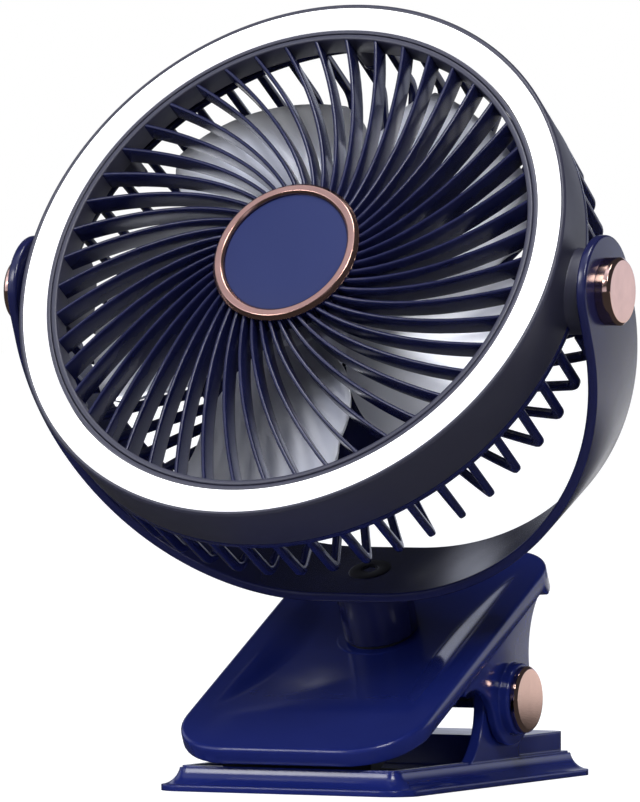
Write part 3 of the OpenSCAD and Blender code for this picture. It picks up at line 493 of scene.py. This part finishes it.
def make(name, shape, place, material, body, slot, *nodes, sharp=40.0, weld=True):
    """Makes the object, sets its finish, and lets it stand for the solids it replaces."""
    mesh = bpy.data.meshes.new(name)
    mesh.from_pydata([tuple(place @ Vector(p)) for p in shape.points], [], shape.faces)
    if any(shape.values):
        mark = mesh.attributes.new("ring_across", "FLOAT", "POINT")
        mark.data.foreach_set("value", shape.values)
    work = bmesh.new()
    work.from_mesh(mesh)
    if weld:
        bmesh.ops.remove_doubles(work, verts=work.verts, dist=WELD_DISTANCE)
    bmesh.ops.recalc_face_normals(work, faces=work.faces)
    work.to_mesh(mesh)
    work.free()
    mesh.shade_smooth()
    mesh.set_sharp_from_angle(angle=math.radians(sharp))
    mesh.materials.append(material)
    made = bpy.data.objects.new(name, mesh)
    bpy.context.scene.collection.objects.link(made)
    if body:
        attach(made, body)
    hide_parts(*nodes)
    print(f"{name}: {len(mesh.polygons)} faces" + (f" on {body}" if body else ""))
    return made


def polar(r, a, z=0.0):
    """A point at radius r and a radians round the axis."""
    return np.array([r * math.cos(a), r * math.sin(a), z])


print("a part can be made")

# %% [markdown]
# ## The barrel
# The barrel is the round band that holds the head together, with a channel for the light in its front, two bosses that
# meet the yoke, and six screw posts. Channels could be cut out with booleans. Turning one section makes the walls and
# the channel at once, with clean rounded rims.

# %% Barrel
BARREL_R, FACE, BACK = 89.6, 21.5, 1.5
WALL_R, MOUTH_R, SHELF = 86.8, 79.1, 11.5
CHANNEL_IN, CHANNEL_OUT, CHANNEL_FLOOR = 80.35, 88.25, 13.5
SCREW_CIRCLE, HOLE_R, POST_R = 82.4, 1.3, 3.4


def screw_posts(shape, low, high, top_rounding):
    """Six short posts for the screws between the barrel and the cage."""
    section = rounded([(HOLE_R, low), (POST_R, low), (POST_R, high, top_rounding), (HOLE_R, high, top_rounding)], 0.3)
    for angle in range(30, 390, 60):
        spot = Matrix.Translation(polar(SCREW_CIRCLE, math.radians(angle)).tolist())
        shape.lathe(section, 32, spot)


barrel = Shape()
barrel.lathe(rounded([
    (WALL_R, BACK), (BARREL_R - 0.8, BACK, 0.4), (BARREL_R, FACE - 0.8, 0.3), (BARREL_R - 0.7, FACE, 0.3),
    (CHANNEL_OUT, FACE, 0.1), (CHANNEL_OUT, CHANNEL_FLOOR), (CHANNEL_IN, CHANNEL_FLOOR), (CHANNEL_IN, FACE - 0.6),
    (MOUTH_R, FACE - 0.6, 0.3), (MOUTH_R, SHELF), (WALL_R, SHELF)], 0.15, 3))
tilt_boss = rounded([(0.0, 81.4, 0), (13.0, 81.4), (13.0, 93.4, 0.8), (0.0, 93.4, 0)])
for side in (RIGHT_SIDE, LEFT_SIDE):
    barrel.lathe(tilt_boss, 96, side @ ALONG_X)
screw_posts(barrel, BACK, 12.5, 0.0)
make("barrel_band", barrel, HEAD, barrel_dark, "head", "barrel_dark", "barrel")

# %% [markdown]
# ## The light ring
# The opal cover is a flat ring with soft edges that fills the channel. Its dimmer edges could be painted. Here each
# point keeps a number, how far across the ring it is, and the material reads it, so the glow fits the ring exactly.

# %% Light ring
RING_IN, RING_OUT, RING_DEPTH = 80.65, 88.1, 3
ring_section = rounded([(RING_IN, FACE - RING_DEPTH), (RING_OUT, FACE - RING_DEPTH), (RING_OUT, FACE, 0.7),
                        (RING_IN, FACE, 0.7)], 0.2, 5)
ring_across = [float(1 - abs(2 * (r - RING_IN) / (RING_OUT - RING_IN) - 1)) + 0.001 for r, z in ring_section]
make("ring_diffuser", Shape().lathe(ring_section, 256, value=ring_across), HEAD, light_diffuser, "head",
     "light_diffuser", "light_ring")

# %% [markdown]
# ## The front grille
# Forty-eight thin ribs leave the hub and curve round as they run out to the rim. One rib could be modelled and copied
# with an array. A loop does the same and also lets each rib change on its way: it follows a log spiral, is thinner at
# its front edge, and stands higher near the hub.


# %% Front grille
def spiral(r, r0, r1, sweep):
    """Angle of a rib at radius r, in radians, for a sweep in degrees between two radii."""
    return -math.radians(sweep) * math.log(r1 / r) / math.log(r1 / r0)


GRILLE_RIBS, RIB_START, RIB_END, RIB_SWEEP = 48, 22.1, 77.7, 32
HUB_EDGE, HUB_TO_RIM = 21.7, 56.8
grille = Shape()
for k in range(GRILLE_RIBS):
    path, across, up, sections = [], [], [], []
    for r in np.linspace(RIB_START, RIB_END, 15):
        a = spiral(r, RIB_START, RIB_END, RIB_SWEEP) + 2 * math.pi * k / GRILLE_RIBS
        t = (r - HUB_EDGE) / HUB_TO_RIM
        top, low = 23.3 - 2.8 * t, 15.9 - 2.7 * t
        path.append(polar(r, a))
        across.append((-math.sin(a), math.cos(a), 0))
        up.append((0, 0, 1))
        sections.append(rounded([(-0.8, low), (0.8, low), (0.62, top, 0.55), (-0.62, top, 0.55)], 0.25, 3))
    grille.sweep(path, across, up, sections)
grille.lathe(rounded([(20.7, 15.9), (22.7, 15.9), (22.7, 23.5), (0.0, 23.5, 0), (0.0, 20.5, 0), (20.7, 20.5)], 0.3, 3))
make("grille_ribs", grille, HEAD, grille_navy, "head", "grille_navy", "front_grille", sharp=50)

rim = rounded([(77.1, 12.9), (78.9, 12.9), (78.9, 20.9, 0.5), (77.1, 20.9, 0.5)], 0.3, 3)
make("grille_rim", Shape().lathe(rim, 256), HEAD, barrel_dark, "head", "barrel_dark", "front_grille")

# %% [markdown]
# ## Hub trim and disc
# A rose-gold ring and a plain disc cover the middle of the grille. Both are round, so both are turned. The ring is a
# piece of its own, as on the real fan, and its sloped faces are what catches the light.

# %% Hub trim and disc
HUB_TOP = 23.5
trim = rounded([(20.2, HUB_TOP, 0.1), (23.9, HUB_TOP, 0.1), (23.9, 23.9, 0.1), (22.8, 25.1, 0.35), (20.9, 25.1, 0.3),
                (20.2, 24.5, 0.2)], 0.2, 5)
# the trim takes the darker rose gold, which is painted shade
make("hub_trim_ring", Shape().lathe(trim, 256), HEAD, shaded_rose_gold, "head", "rose_gold", "hub_trim", sharp=30)
disc = rounded([(0.0, HUB_TOP, 0), (20.1, HUB_TOP, 0.1), (20.1, 23.86, 0.15), (10.0, 23.9, 0), (0.0, 23.9, 0)], 0.1)
make("hub_plate", Shape().lathe(disc), HEAD, hub_navy, "head", "hub_navy", "hub_disc")

# %% [markdown]
# ## The rear cage
# Fifty wide ribs run straight back from the barrel, bend inwards and go on along a shallow cone to a sleeve. Wire
# objects could be bevelled, but their round section would be wrong: a rib is flat with soft edges. So one line in the
# half section is turned to each place and swept. A rib that would pass through a tilt boss stops short of it.

# %% Line of a cage rib
CAGE_BEND, CAGE_BEND_R, CAGE_CONE = np.array([81.1, -18.5]), 4.9, math.radians(17.5)


def cage_line():
    """Middle line of a rib in the half section, with the direction that points outwards."""
    line = [(np.array([87.2 - 1.2 * t, 1.0 - 19.5 * t]), np.array([1.0, -0.062])) for t in np.linspace(0, 1, 9)]
    for t in np.linspace(0, 1, 10)[1:]:
        a = -t * (math.pi / 2 - CAGE_CONE)
        out = np.array([math.cos(a), math.sin(a)])
        line.append((CAGE_BEND + CAGE_BEND_R * out, out))
    start, out = line[-1]
    run = np.array([-math.cos(CAGE_CONE), -math.sin(CAGE_CONE)])
    for t in np.linspace(0, 36.9, 8)[1:]:
        line.append((start + run * t, out))
    return line


print("cage rib:", len(cage_line()), "points")

# %% Rear cage
CAGE_RIBS, CAGE_IN, CAGE_OUT, CAGE_SWEEP = 50, 47.8, 89.8, 4
BOSS_START, BOSS_ROOM = 79, 13.2
cage = Shape()
rib_section = rounded([(-1.2, -1.6), (1.2, -1.6), (1.2, 1.6), (-1.2, 1.6)], 0.8, 3)
for k in range(CAGE_RIBS):
    path, across, up = [], [], []
    for (r, z), (nr, nz) in cage_line():
        a = spiral(r, CAGE_IN, CAGE_OUT, CAGE_SWEEP) + 2 * math.pi * k / CAGE_RIBS + math.radians(1.3)
        p = polar(r, a, z)
        if abs(p[0]) > BOSS_START and p[1] ** 2 + p[2] ** 2 < BOSS_ROOM ** 2:
            continue
        path.append(p)
        across.append((-math.sin(a), math.cos(a), 0))
        up.append((nr * math.cos(a), nr * math.sin(a), nz))
    cage.sweep(path, across, up, rib_section)
cage.lathe(rounded([(85.6, -0.9), (88.8, -0.9), (88.8, 1.5), (85.6, 1.5)], 0.5))
cage.lathe(rounded([(5.0, -25.0), (46.2, -25.0), (46.2, -36.8), (48.6, -36.8, 0.9), (48.6, -21.8), (5.0, -21.8)],
                   0.4), 160)
screw_posts(cage, -0.9, 1.45, 0.3)
make("cage_ribs", cage, HEAD, cage_navy, "head", "grille_navy", "rear_cage", sharp=50)

# %% [markdown]
# ## The fan
# Five blades stand on a hub cup. Each is a thin curved plate, set at its pitch, with a wide paddle for an outline. A
# flat plate could be thickened and bent with modifiers, but its edges would stay square. Here loops round the blade,
# from its root to its tip, thin out towards every edge, as a moulded blade does.

# %% Curve and outline of a blade
BLADE_PITCH, BLADE_CURVE_R, BLADE_SETBACK, BLADE_DROP = math.radians(15), 99.1, 97.4, 1.6
ROOT_R, TIP_R = 18.6, 72.8


def blade_height(y):
    """Height and slope of the blade's middle surface at a distance y across it."""
    sine, cosine = math.sin(BLADE_PITCH), math.cos(BLADE_PITCH)
    u = y
    for _ in range(12):  # steps towards the point of the curve that lies above y
        x = BLADE_SETBACK - math.sqrt(BLADE_CURVE_R ** 2 - u * u)
        dx = u / math.sqrt(BLADE_CURVE_R ** 2 - u * u)
        u -= (x * sine + u * cosine - y) / (dx * sine + cosine)
    x = BLADE_SETBACK - math.sqrt(BLADE_CURVE_R ** 2 - u * u)
    dx = u / math.sqrt(BLADE_CURVE_R ** 2 - u * u)
    slope = -(dx * cosine - sine) / (dx * sine + cosine)
    return -BLADE_DROP - (x * cosine - u * sine), slope


def blade_reach(rho):
    """Half the blade's angle at a distance from the axis: a root strip and two rounds of the paddle."""
    reach = math.asin(min(1.0, 7.6 / rho)) if rho < 50 else 0.0
    for centre, radius, turn in ((46.0, 28.5, 0.0), (59.9, 15.0, math.radians(14))):
        cosine = (rho ** 2 + centre ** 2 - radius ** 2) / (2 * rho * centre)
        if cosine < 1:
            reach = max(reach, turn + math.acos(max(-1.0, cosine)))
    return reach


print("half a blade spans", round(math.degrees(blade_reach(60.0)), 1), "degrees at 60 mm")

# %% Fan blades
BLADES, FIRST_BLADE, HALF_THICK = 5, 48, 0.9
fan = Shape()
stations = np.concatenate([np.linspace(18.8, 71.0, 30), [71.8, 72.4, TIP_R]])
reaches = [np.mean([blade_reach(min(TIP_R, max(ROOT_R, rho + d))) for d in np.linspace(-2, 2, 9)]) for rho in stations]
for b in range(BLADES):
    turn = math.radians(72 * b + FIRST_BLADE)
    rows = []
    for rho, reach in zip(stations, reaches):
        loop = []
        for side in (1, -1):
            for t in np.linspace(-1, 1, 25)[::side]:
                angle = reach * math.sin(t * math.pi / 2)
                z, slope = blade_height(rho * math.sin(angle))
                thick = HALF_THICK * math.sqrt(max(0.0, 1 - abs(t) ** 8)) * min(1.0, 0.45 + (73 - rho) / 4)
                tilt = side * thick / math.hypot(slope, 1)
                lean = np.array([math.cos(turn + angle), math.sin(turn + angle)]) * rho
                offset = np.array([-math.sin(turn), math.cos(turn)]) * -slope * tilt
                loop.append((*(lean + offset), z + tilt))
        rows.append(np.array(loop))
    fan.rows(rows)
fan.lathe(rounded([(2.0, 1.6, 0.1), (2.0, 3.2, 0.1), (20.0, 3.2, 3.0), (20.0, -12.8, 0.4), (ROOT_R, -12.8, 0.3),
                   (ROOT_R, 1.6, 1.5)], 0.3, 6), 160)
make("fan_blades", fan, HEAD, blade_plastic, "rotor", "blade_plastic", "fan_rotor", sharp=50)

# %% [markdown]
# ## The yoke
# The yoke is one strip: round ears on the tilt axis, straight arms, two wide bends and a flat foot on the post. A flat
# strip could be bent with a modifier. Sweeping the strip's section along its middle line gives the same form without
# stretching it, and its small edge radius catches a thin line of light.

# %% Yoke
ARM_X, BEND_R, STRAIGHT = 95.95, 85.95, 10
STRIP_HALF_WIDTH, STRIP_HALF_THICK = 17.0, 1.55
yoke_line = [((ARM_X, 0), (1, 0)), ((ARM_X, -5), (1, 0))]
for t in np.linspace(0, 1, 57):
    a = -t * math.pi / 2
    bend = (STRAIGHT + BEND_R * math.cos(a), -STRAIGHT + BEND_R * math.sin(a))
    yoke_line.append((bend, (math.cos(a), math.sin(a))))
yoke_line += [((-x, z), (-nx, nz)) for (x, z), (nx, nz) in reversed(yoke_line)]
half = rounded([(0.0, -STRIP_HALF_THICK, 0), (STRIP_HALF_WIDTH, -STRIP_HALF_THICK),
                (STRIP_HALF_WIDTH, STRIP_HALF_THICK), (0.0, STRIP_HALF_THICK, 0)], 0.9, 5)
strip = np.vstack([half, half[::-1] * [-1, 1]])
yoke = Shape().sweep([(x, 0, z) for (x, z), n in yoke_line], [(0, 1, 0)] * len(yoke_line),
                     [(nx, 0, nz) for p, (nx, nz) in yoke_line], strip, caps=False)
for side in (1, -1):
    ear = []
    for a in [math.pi * k / 48 for k in range(49)]:
        ear.append(np.column_stack([side * (ARM_X + half[:, 1]), half[:, 0] * math.cos(a), half[:, 0] * math.sin(a)]))
    yoke.rows(ear, around=False, caps=False)
# the yoke takes the darker navy, which is painted shade
make("yoke_strip", yoke, YOKE, shaded_navy, "yoke", "navy_gloss", "yoke")

# %% [markdown]
# ## Swivel post, caps and bolt
# The yoke stands on a short round post, held by a bolt with a hexagon socket. Rose-gold caps hide the tilt bolts and
# the ends of the clip's pin. Small cylinders with a bevel modifier would do, but a turned section gives each cap its
# sloped rim and its flat face in one step.

# %% Swivel post
post = rounded([(0.0, 1.0, 0), (11.7, 1.0), (11.7, 19.0), (0.0, 19.0, 0)], 0.5)
# the post takes the darker navy, which is painted shade
make("swivel_column", Shape().lathe(post, 128), SEAT_FRAME, shaded_navy, "yoke", "navy_gloss", "swivel_post")

# %% Caps
CAP_R, CAP_BEVEL, CAP_RIM = 10.3, 0.9, 1.3


def cap(name, place, height, start, body, node):
    """A bevelled metal cap on the end of a pin; start is where it begins on the pin."""
    section = rounded([(0.0, 0.0, 0), (CAP_R, 0.0, 0.1), (CAP_R, height - CAP_BEVEL, 0.18),
                       (CAP_R - CAP_BEVEL, height, 0.18), (CAP_R - CAP_RIM, height, 0), (0.0, height, 0)], 0.1, 4)
    turned = Shape().lathe(section, 160, Matrix.Translation((start, 0, 0)) @ ALONG_X)
    make(name, turned, place, rose_gold, body, "rose_gold", node, sharp=30)


cap("tilt_cap_r", YOKE @ RIGHT_SIDE, 5.0, 97.5, "yoke", "tilt_cap_right")
cap("tilt_cap_l", YOKE @ LEFT_SIDE, 5.0, 97.5, "yoke", "tilt_cap_left")
cap("pin_cap_r", PIN_FRAME @ RIGHT_SIDE, 2.2, 43.7, "base", "pin_cap_right")
cap("pin_cap_l", PIN_FRAME @ LEFT_SIDE, 2.2, 43.7, "base", "pin_cap_left")

# %% Swivel bolt
bolt = Shape()
bolt.lathe(rounded([(0.0, -10.0, 0), (4.0, -10.0), (4.0, 19.3, 0), (6.7, 22.1, 0.2), (6.4, 22.4, 0.2), (2.7, 22.5, 0.2),
                    (2.7, 20.2, 0), (0.0, 20.2, 0)], 0.4, 3), 96)
bolt.lathe([(2.3, 20.2), (2.9, 20.2), (2.9, 22.3), (2.3, 22.3)], 6)
make("swivel_screw", bolt, SEAT_FRAME, black_steel, "yoke", "black_steel", "swivel_bolt", sharp=30)

# %% [markdown]
# ## The upper jaw
# The jaw is a plate with round corners and a dish in its top that holds the swivel. Sculpting would give the dish, but
# not its true depth. So the plate is built from rings, from the middle out to its edge, over the rounded rim and back
# in underneath, and each ring takes its height from the dish: a smooth blend of a round floor and two walls.

# %% Dish of the jaw
DISH_DEPTH, DISH_MIDDLE, DISH_WIDTH = 3.0, 72.5, 32.5


def smooth_min(a, b, k):
    """The smaller of two values, with a soft change of width k."""
    h = np.clip(0.5 + 0.5 * (b - a) / k, 0, 1)
    return b + (a - b) * h - k * h * (1 - h)


def dish_depth(x, v):
    """How far the jaw's top lies below its plane."""
    floor = DISH_DEPTH - (v - DISH_MIDDLE) ** 2 / 678.0
    wall = (DISH_WIDTH - np.abs(x)) * DISH_DEPTH / 8.5
    return -smooth_min(-smooth_min(floor, wall, 0.6), np.zeros_like(x), 0.9)


print("dish:", round(float(dish_depth(np.array([0.0]), DISH_MIDDLE)[0]), 2), "mm deep")

# %% Rings of the jaw
JAW_HALF_WIDTH, JAW_LENGTH, FRONT_CORNER, REAR_CORNER = 41.0, 129.0, 21.0, 15.0
SIDE_POINTS = (30, 66, 30, 66)


def jaw_ring(inset):
    """The jaw's outline, moved inwards; every ring has the same number of points."""
    rf, rr = max(FRONT_CORNER - inset, 0.0), max(REAR_CORNER - inset, 0.0)
    front = (JAW_HALF_WIDTH - inset - rf, inset + rf)
    rear = (JAW_HALF_WIDTH - inset - rr, JAW_LENGTH - inset - rr)
    parts = []
    corners = ((-front[0], front[1], rf, 180), (front[0], front[1], rf, 270), (rear[0], rear[1], rr, 0),
               (-rear[0], rear[1], rr, 90))
    for i, (x, v, r, start) in enumerate(corners):
        a = np.radians(start + np.linspace(0, 90, 13))
        parts.append(np.column_stack([x + r * np.cos(a), v + r * np.sin(a)]))
        nx, nv, nr, ns = corners[(i + 1) % 4]
        goal = np.array([nx + nr * math.cos(math.radians(ns)), nv + nr * math.sin(math.radians(ns))])
        t = np.linspace(0, 1, SIDE_POINTS[i])[1:-1, None]
        parts.append(parts[-1][-1] * (1 - t) + goal * t)
    return np.vstack(parts)


def jaw_row(inset, height):
    """One ring at a height, which may depend on the place."""
    ring = jaw_ring(inset)
    w = height(ring[:, 0], ring[:, 1]) if callable(height) else np.full(len(ring), height)
    return np.column_stack([ring, w])


print("jaw ring:", len(jaw_ring(0.0)), "points")

# %% Jaw plate
EDGE_R, JAW_THICK = 1.2, 2.6


def skirt(x, v):
    """Lower edge of the rim, which hangs deeper round the end of the handle."""
    t = np.clip((v - 113.0) / 2.0, 0, 1)
    return -5.6 - 2.9 * t * t * (3 - 2 * t)


rows = [jaw_row(d, lambda x, v: -dish_depth(x, v)) for d in np.concatenate([np.linspace(41, 1.6, 42), [EDGE_R]])]
for a in np.radians(np.linspace(12, 90, 7)):
    rows.append(jaw_row(EDGE_R * (1 - math.sin(a)), -EDGE_R * (1 - math.cos(a))))
for d, lift in ((0.0, 0.7), (0.2, 0.2), (0.7, 0.0), (2.8, 0.0), (3.2, 0.2), (3.4, 0.6)):
    rows.append(jaw_row(d, lambda x, v, lift=lift: skirt(x, v) + lift))
for d in np.concatenate([[3.4, 3.7], np.linspace(5, 41, 26)]):
    rows.append(jaw_row(d, lambda x, v: -JAW_THICK - dish_depth(x, v)))
jaw = Shape().rows(rows, caps=False)
print("jaw plate:", len(rows), "rings of", len(rows[0]), "points")

# %% [markdown]
# Under the plate two cheeks reach down to the pin. On the real fan they are one moulding with the plate. A cheek is a
# flat outline with an arch and a round lobe, so it is drawn from arcs and its outer edge is rounded by moving the
# outline inwards a little at each step.


# %% Cheeks and bosses of the jaw
def arc(centre, radius, start, end, count):
    a = np.radians(np.linspace(start, end, count))
    return np.column_stack([centre[0] + radius * np.cos(a), centre[1] + radius * np.sin(a)])


LOBE, ARCH, REAR_SWEEP = (79.45, -25.54), (48.99, -23.94), (117.80, -28.90)
CHEEK_IN, CHEEK_OUT, CHEEK_ROUND = 37.6, 39.6, 0.6
cheek = np.vstack([[(48.99, -4.6)], arc(ARCH, 16, 90, -3, 40), arc(LOBE, 14.5, 177, 355, 60)[1:-1],
                   arc(REAR_SWEEP, 24, 175, 104, 30), [(112.05, -4.6)]])
next_point, last_point = np.roll(cheek, -1, 0), np.roll(cheek, 1, 0)
along = (next_point - last_point) / np.linalg.norm(next_point - last_point, axis=1)[:, None]
inward = np.column_stack([-along[:, 1], along[:, 0]])
cheek_steps = [(CHEEK_IN, 0.0), (CHEEK_OUT, 0.0)]
for a in np.radians(np.linspace(18, 90, 5)):
    cheek_steps.append((CHEEK_OUT + CHEEK_ROUND * math.sin(a), CHEEK_ROUND * (1 - math.cos(a))))
pin_boss = rounded([(3.1, 38.9), (11.2, 38.9), (11.2, 43.4, 0.8), (3.1, 43.4)], 0.3, 4)
for sign, side in ((1, RIGHT_SIDE), (-1, LEFT_SIDE)):
    jaw.rows([np.column_stack([np.full(len(cheek), sign * x), cheek + inward * d]) for x, d in cheek_steps])
    jaw.lathe(pin_boss, 96, JAW_FRAME.inverted() @ PIN_FRAME @ side @ ALONG_X)
seat_boss = rounded([(4.1, -4.0), (14.1, -4.0), (14.1, 0.0), (4.1, 0.0)], 0.4)
jaw.lathe(seat_boss, 96, JAW_FRAME.inverted() @ SEAT_FRAME)
make("jaw_shell", jaw, JAW_FRAME, navy_gloss, "upper_jaw", "navy_gloss", "upper_jaw", sharp=35)

# %% [markdown]
# ## The clip's spring
# The spring is one wire: a leg on the rear deck, nine close turns round the pin and a leg under the handle. A screw
# modifier makes the turns but not the legs. So the whole line of the wire is worked out and a round section swept along
# it.

# %% Line of the spring's wire
COIL_R, COIL_X, TURNS, WIRE_R, LEG_END, LEG_START = 6.4, 9.2, 9, 0.97, 26.0, 3.0
WIRE_ROOM, DECK_HEIGHT = 1.3, 13.8


def leg_angle(rise):
    """Angle at which a leg leaves the coil to end at a height above the pin."""
    return math.asin(rise / math.hypot(COIL_R, LEG_END)) - math.atan(COIL_R / LEG_END)


lean = math.radians(JAW_LEAN)
pin_below = 82.5 * math.sin(lean) - 12.6 * math.cos(lean)  # from the jaw's top to the pin, square to the jaw
lift = lean + leg_angle(pin_below - JAW_THICK - DISH_DEPTH - WIRE_ROOM)
fall = -leg_angle(PIN.z - DECK_HEIGHT - WIRE_ROOM)
first, last = math.pi + lift, fall + 2 * TURNS * math.pi
wire = []
for t in np.linspace(LEG_END, LEG_START, 8):
    wire.append((COIL_X, COIL_R * math.sin(first) + t * math.cos(lift), -COIL_R * math.cos(first) + t * math.sin(lift)))
for t in np.linspace(0, 1, TURNS * 40):
    a = first + (last - first) * t
    wire.append((COIL_X - 2 * COIL_X * t, COIL_R * math.sin(a), -COIL_R * math.cos(a)))
for t in np.linspace(LEG_START, LEG_END, 8):
    wire.append((-COIL_X, COIL_R * math.sin(fall) + t * math.cos(fall), -COIL_R * math.cos(fall) + t * math.sin(fall)))
wire = np.array(wire)
print("wire:", len(wire), "points")

# %% Torsion spring
steps = np.gradient(wire, axis=0)
steps /= np.linalg.norm(steps, axis=1)[:, None]
side_way = np.cross(steps, np.tile([1.0, 0.0, 0.0], (len(wire), 1)))
side_way /= np.linalg.norm(side_way, axis=1)[:, None]
other_way = np.cross(steps, side_way)
wire_section = np.array([(WIRE_R * math.cos(a), WIRE_R * math.sin(a))
                         for a in np.linspace(0, 2 * math.pi, 16, endpoint=False)])
spring = make("clip_spring", Shape().sweep(wire, side_way, other_way, wire_section), PIN_FRAME, spring_steel, None,
              "spring_steel", "torsion_spring", weld=False)
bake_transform(spring)

# %% [markdown]
# ## Solids that stay
# The base, the pads, the pod, the motor and the small hardware already have the right shape. They could be rebuilt, but
# that would only risk a mistake. Each keeps its mesh and gets its finish, whose rounded edges soften its corners.

# %% Finishes of the carried-over solids
finishes = {
    navy_gloss: ["lower_jaw"],
    pad_rubber: ["lower_jaw_pad", "foot_pads", "upper_jaw_pad"],
    steel: ["hinge_pin", "swivel_nut", "tilt_bolt_left", "tilt_bolt_right", "cage_screws", "pod_screws",
            "usb_socket", "motor_case", "motor_shaft", "shaft_clip"],
    dark_plastic: ["swivel_washer", "tilt_washers", "cell_holder"],
    brass: ["tilt_inserts", "motor_bushes"],
    board_white: ["led_board"],
    led_phosphor: ["led_chips"],
    pod_navy: ["pod_shell"],
    cell_sleeve: ["battery_cells"],
    board_green: ["control_board"],
    clear_lens: ["level_lens"],
    button_navy: ["fan_button", "light_button"],
    magnet: ["motor_magnets"],
    copper: ["motor_armature"],
}
for finish, names in finishes.items():
    for name in names:
        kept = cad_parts[name]
        kept.data.materials.clear()
        kept.data.materials.append(finish)
print("finished solids:", sum(len(names) for names in finishes.values()))

# %% [markdown]
# ## Studio
# The fan stands on a plain white floor in a white room. More lamps would whiten the floor but also wash out the fan, so
# the floor glows a little for the camera alone and keeps the fan's shadow. In the fan's gloss it is dark close by,
# which keeps the front deep blue, and bright far behind, which turns the sides a pale lilac.

# %% Floor
TOWARDS_BACK = (0.46, 0.89, 0.0)


def floor_material():
    made, tree, shader = new_material("floor")
    spot = add(tree, "NewGeometry").outputs["Position"]
    ray = add(tree, "LightPath").outputs
    level = math_node(tree, "MULTIPLY_ADD", noise(tree, spot, 3.0, 3.0), 0.04, 0.78)
    level = math_node(tree, "MULTIPLY", level, remap(tree, ray["Is Camera Ray"], 0.0, 1.0, 1.0, 0.42))
    fill(tree, shader, {"Base Color": grey(tree, level), "Roughness": 0.9, "Specular IOR Level": 0.1,
                        "Emission Color": (1, 1, 1, 1),
                        "Emission Strength": math_node(tree, "MULTIPLY", ray["Is Camera Ray"], 0.90)})
    reflected = remap(tree, dot(tree, spot, TOWARDS_BACK), 0.40, 0.62, 0.05, 0.85)
    far = add(tree, "Emission", {"Color": (0.97, 0.97, 1.0, 1), "Strength": reflected})
    choice = add(tree, "MixShader", {0: ray["Is Glossy Ray"], 1: shader.outputs[0], 2: far.outputs[0]})
    fill(tree, tree.nodes["Material Output"], {"Surface": choice.outputs[0]})
    return made


sheet = bpy.data.meshes.new("floor")
ticks = np.linspace(-6, 6, 13)
n = len(ticks)
sheet.from_pydata([(x, y, 0) for y in ticks * 3 for x in ticks], [],
                  [(j * n + i, j * n + i + 1, (j + 1) * n + i + 1, (j + 1) * n + i)
                   for j in range(n - 1) for i in range(n - 1)])
sheet.materials.append(floor_material())
floor = bpy.data.objects.new("floor", sheet)
bpy.context.scene.collection.objects.link(floor)
print("floor ready")

# %% [markdown]
# Gloss shows whatever stands round the fan. An image of a real studio could surround it, but here the room is nearly
# dark and holds a few soft glows, each placed where one face of the fan mirrors it.

# %% World
ROOM_LEVEL, ROOM_TINT = 0.05, (0.80, 0.84, 1.0, 1)
GLOWS = (  # direction, full within and gone beyond these angles in degrees, strength
    ((0.48, 0.875, 0.0), 10, 27, 0.95),  # behind, right
    ((-0.43, -0.46, 0.77), 6, 26, 0.75),  # high up, front left
    ((0.0, -0.25, 0.97), 8, 28, 1.6),  # overhead
    ((-0.62, -0.66, 0.42), 6, 20, 1.1),  # half high, front left
    ((-0.25, -0.97, 0.0), 4, 20, 0.8),  # in front
    ((0.5, -0.86, 0.0), 4, 16, 0.7),  # in front, right
    ((-0.78, -0.60, 0.10), 8, 30, 1.0),  # left
    ((-0.88, 0.20, 0.44), 5, 24, 0.8),  # half high, left
    ((-0.62, 0.67, 0.41), 2, 10, 0.9),  # half high, behind left
    ((-0.26, 0.96, 0.09), 4, 18, 0.7),  # behind
)
world = bpy.data.worlds.new("studio")
bpy.context.scene.world = world
world.use_nodes = True
sky = world.node_tree
sky.nodes.clear()
aim = add(sky, "TexCoord").outputs["Generated"]
level = ROOM_LEVEL
for toward, inner, outer, strength in GLOWS:
    ends = {"Value": dot(sky, aim, Vector(toward).normalized()), "From Min": math.cos(math.radians(outer)),
            "From Max": math.cos(math.radians(inner)), "To Max": strength}
    glow = add(sky, "MapRange", ends, interpolation_type="SMOOTHSTEP").outputs[0]
    level = math_node(sky, "ADD", level, glow)
room = mix(sky, 1.0, ROOM_TINT, level, blend_type="MULTIPLY")
shown = mix(sky, add(sky, "LightPath").outputs["Is Camera Ray"], room, (1, 1, 1, 1))
back = add(sky, "Background", {"Color": shown})
add(sky, "OutputWorld", {"Surface": back.outputs[0]})
print("world ready, glows:", len(GLOWS))

# %% [markdown]
# Soft boxes light the fan. A sun lamp would give hard shadows. The key hangs at the right, a weaker one fills the left,
# one lights the head from above, and a very small one puts a glint on the jaw.


# %% Lamps
def soft_box(name, spot, target, width, height, power):
    """A rectangular lamp that hangs at a spot and faces a target."""
    lamp = bpy.data.lights.new(name, "AREA")
    lamp.shape, lamp.size, lamp.size_y, lamp.energy = "RECTANGLE", width, height, power
    made = bpy.data.objects.new(name, lamp)
    made.location = spot
    made.rotation_euler = (Vector(target) - Vector(spot)).to_track_quat("-Z", "Y").to_euler()
    bpy.context.scene.collection.objects.link(made)


soft_box("key", (0.65, -1.0, 1.15), (0, 0, 0.12), 0.5, 0.5, 12)
soft_box("left", (-0.74, -1.33, 0.93), (0, -0.05, 0.08), 0.35, 0.5, 5)
soft_box("top", (0.25, -0.15, 1.5), (0, 0, 0.1), 0.5, 0.5, 8)
soft_box("glint", (-0.226, 0.279, 0.361), (-0.008, -0.028, 0.032), 0.014, 0.014, 0.0005)
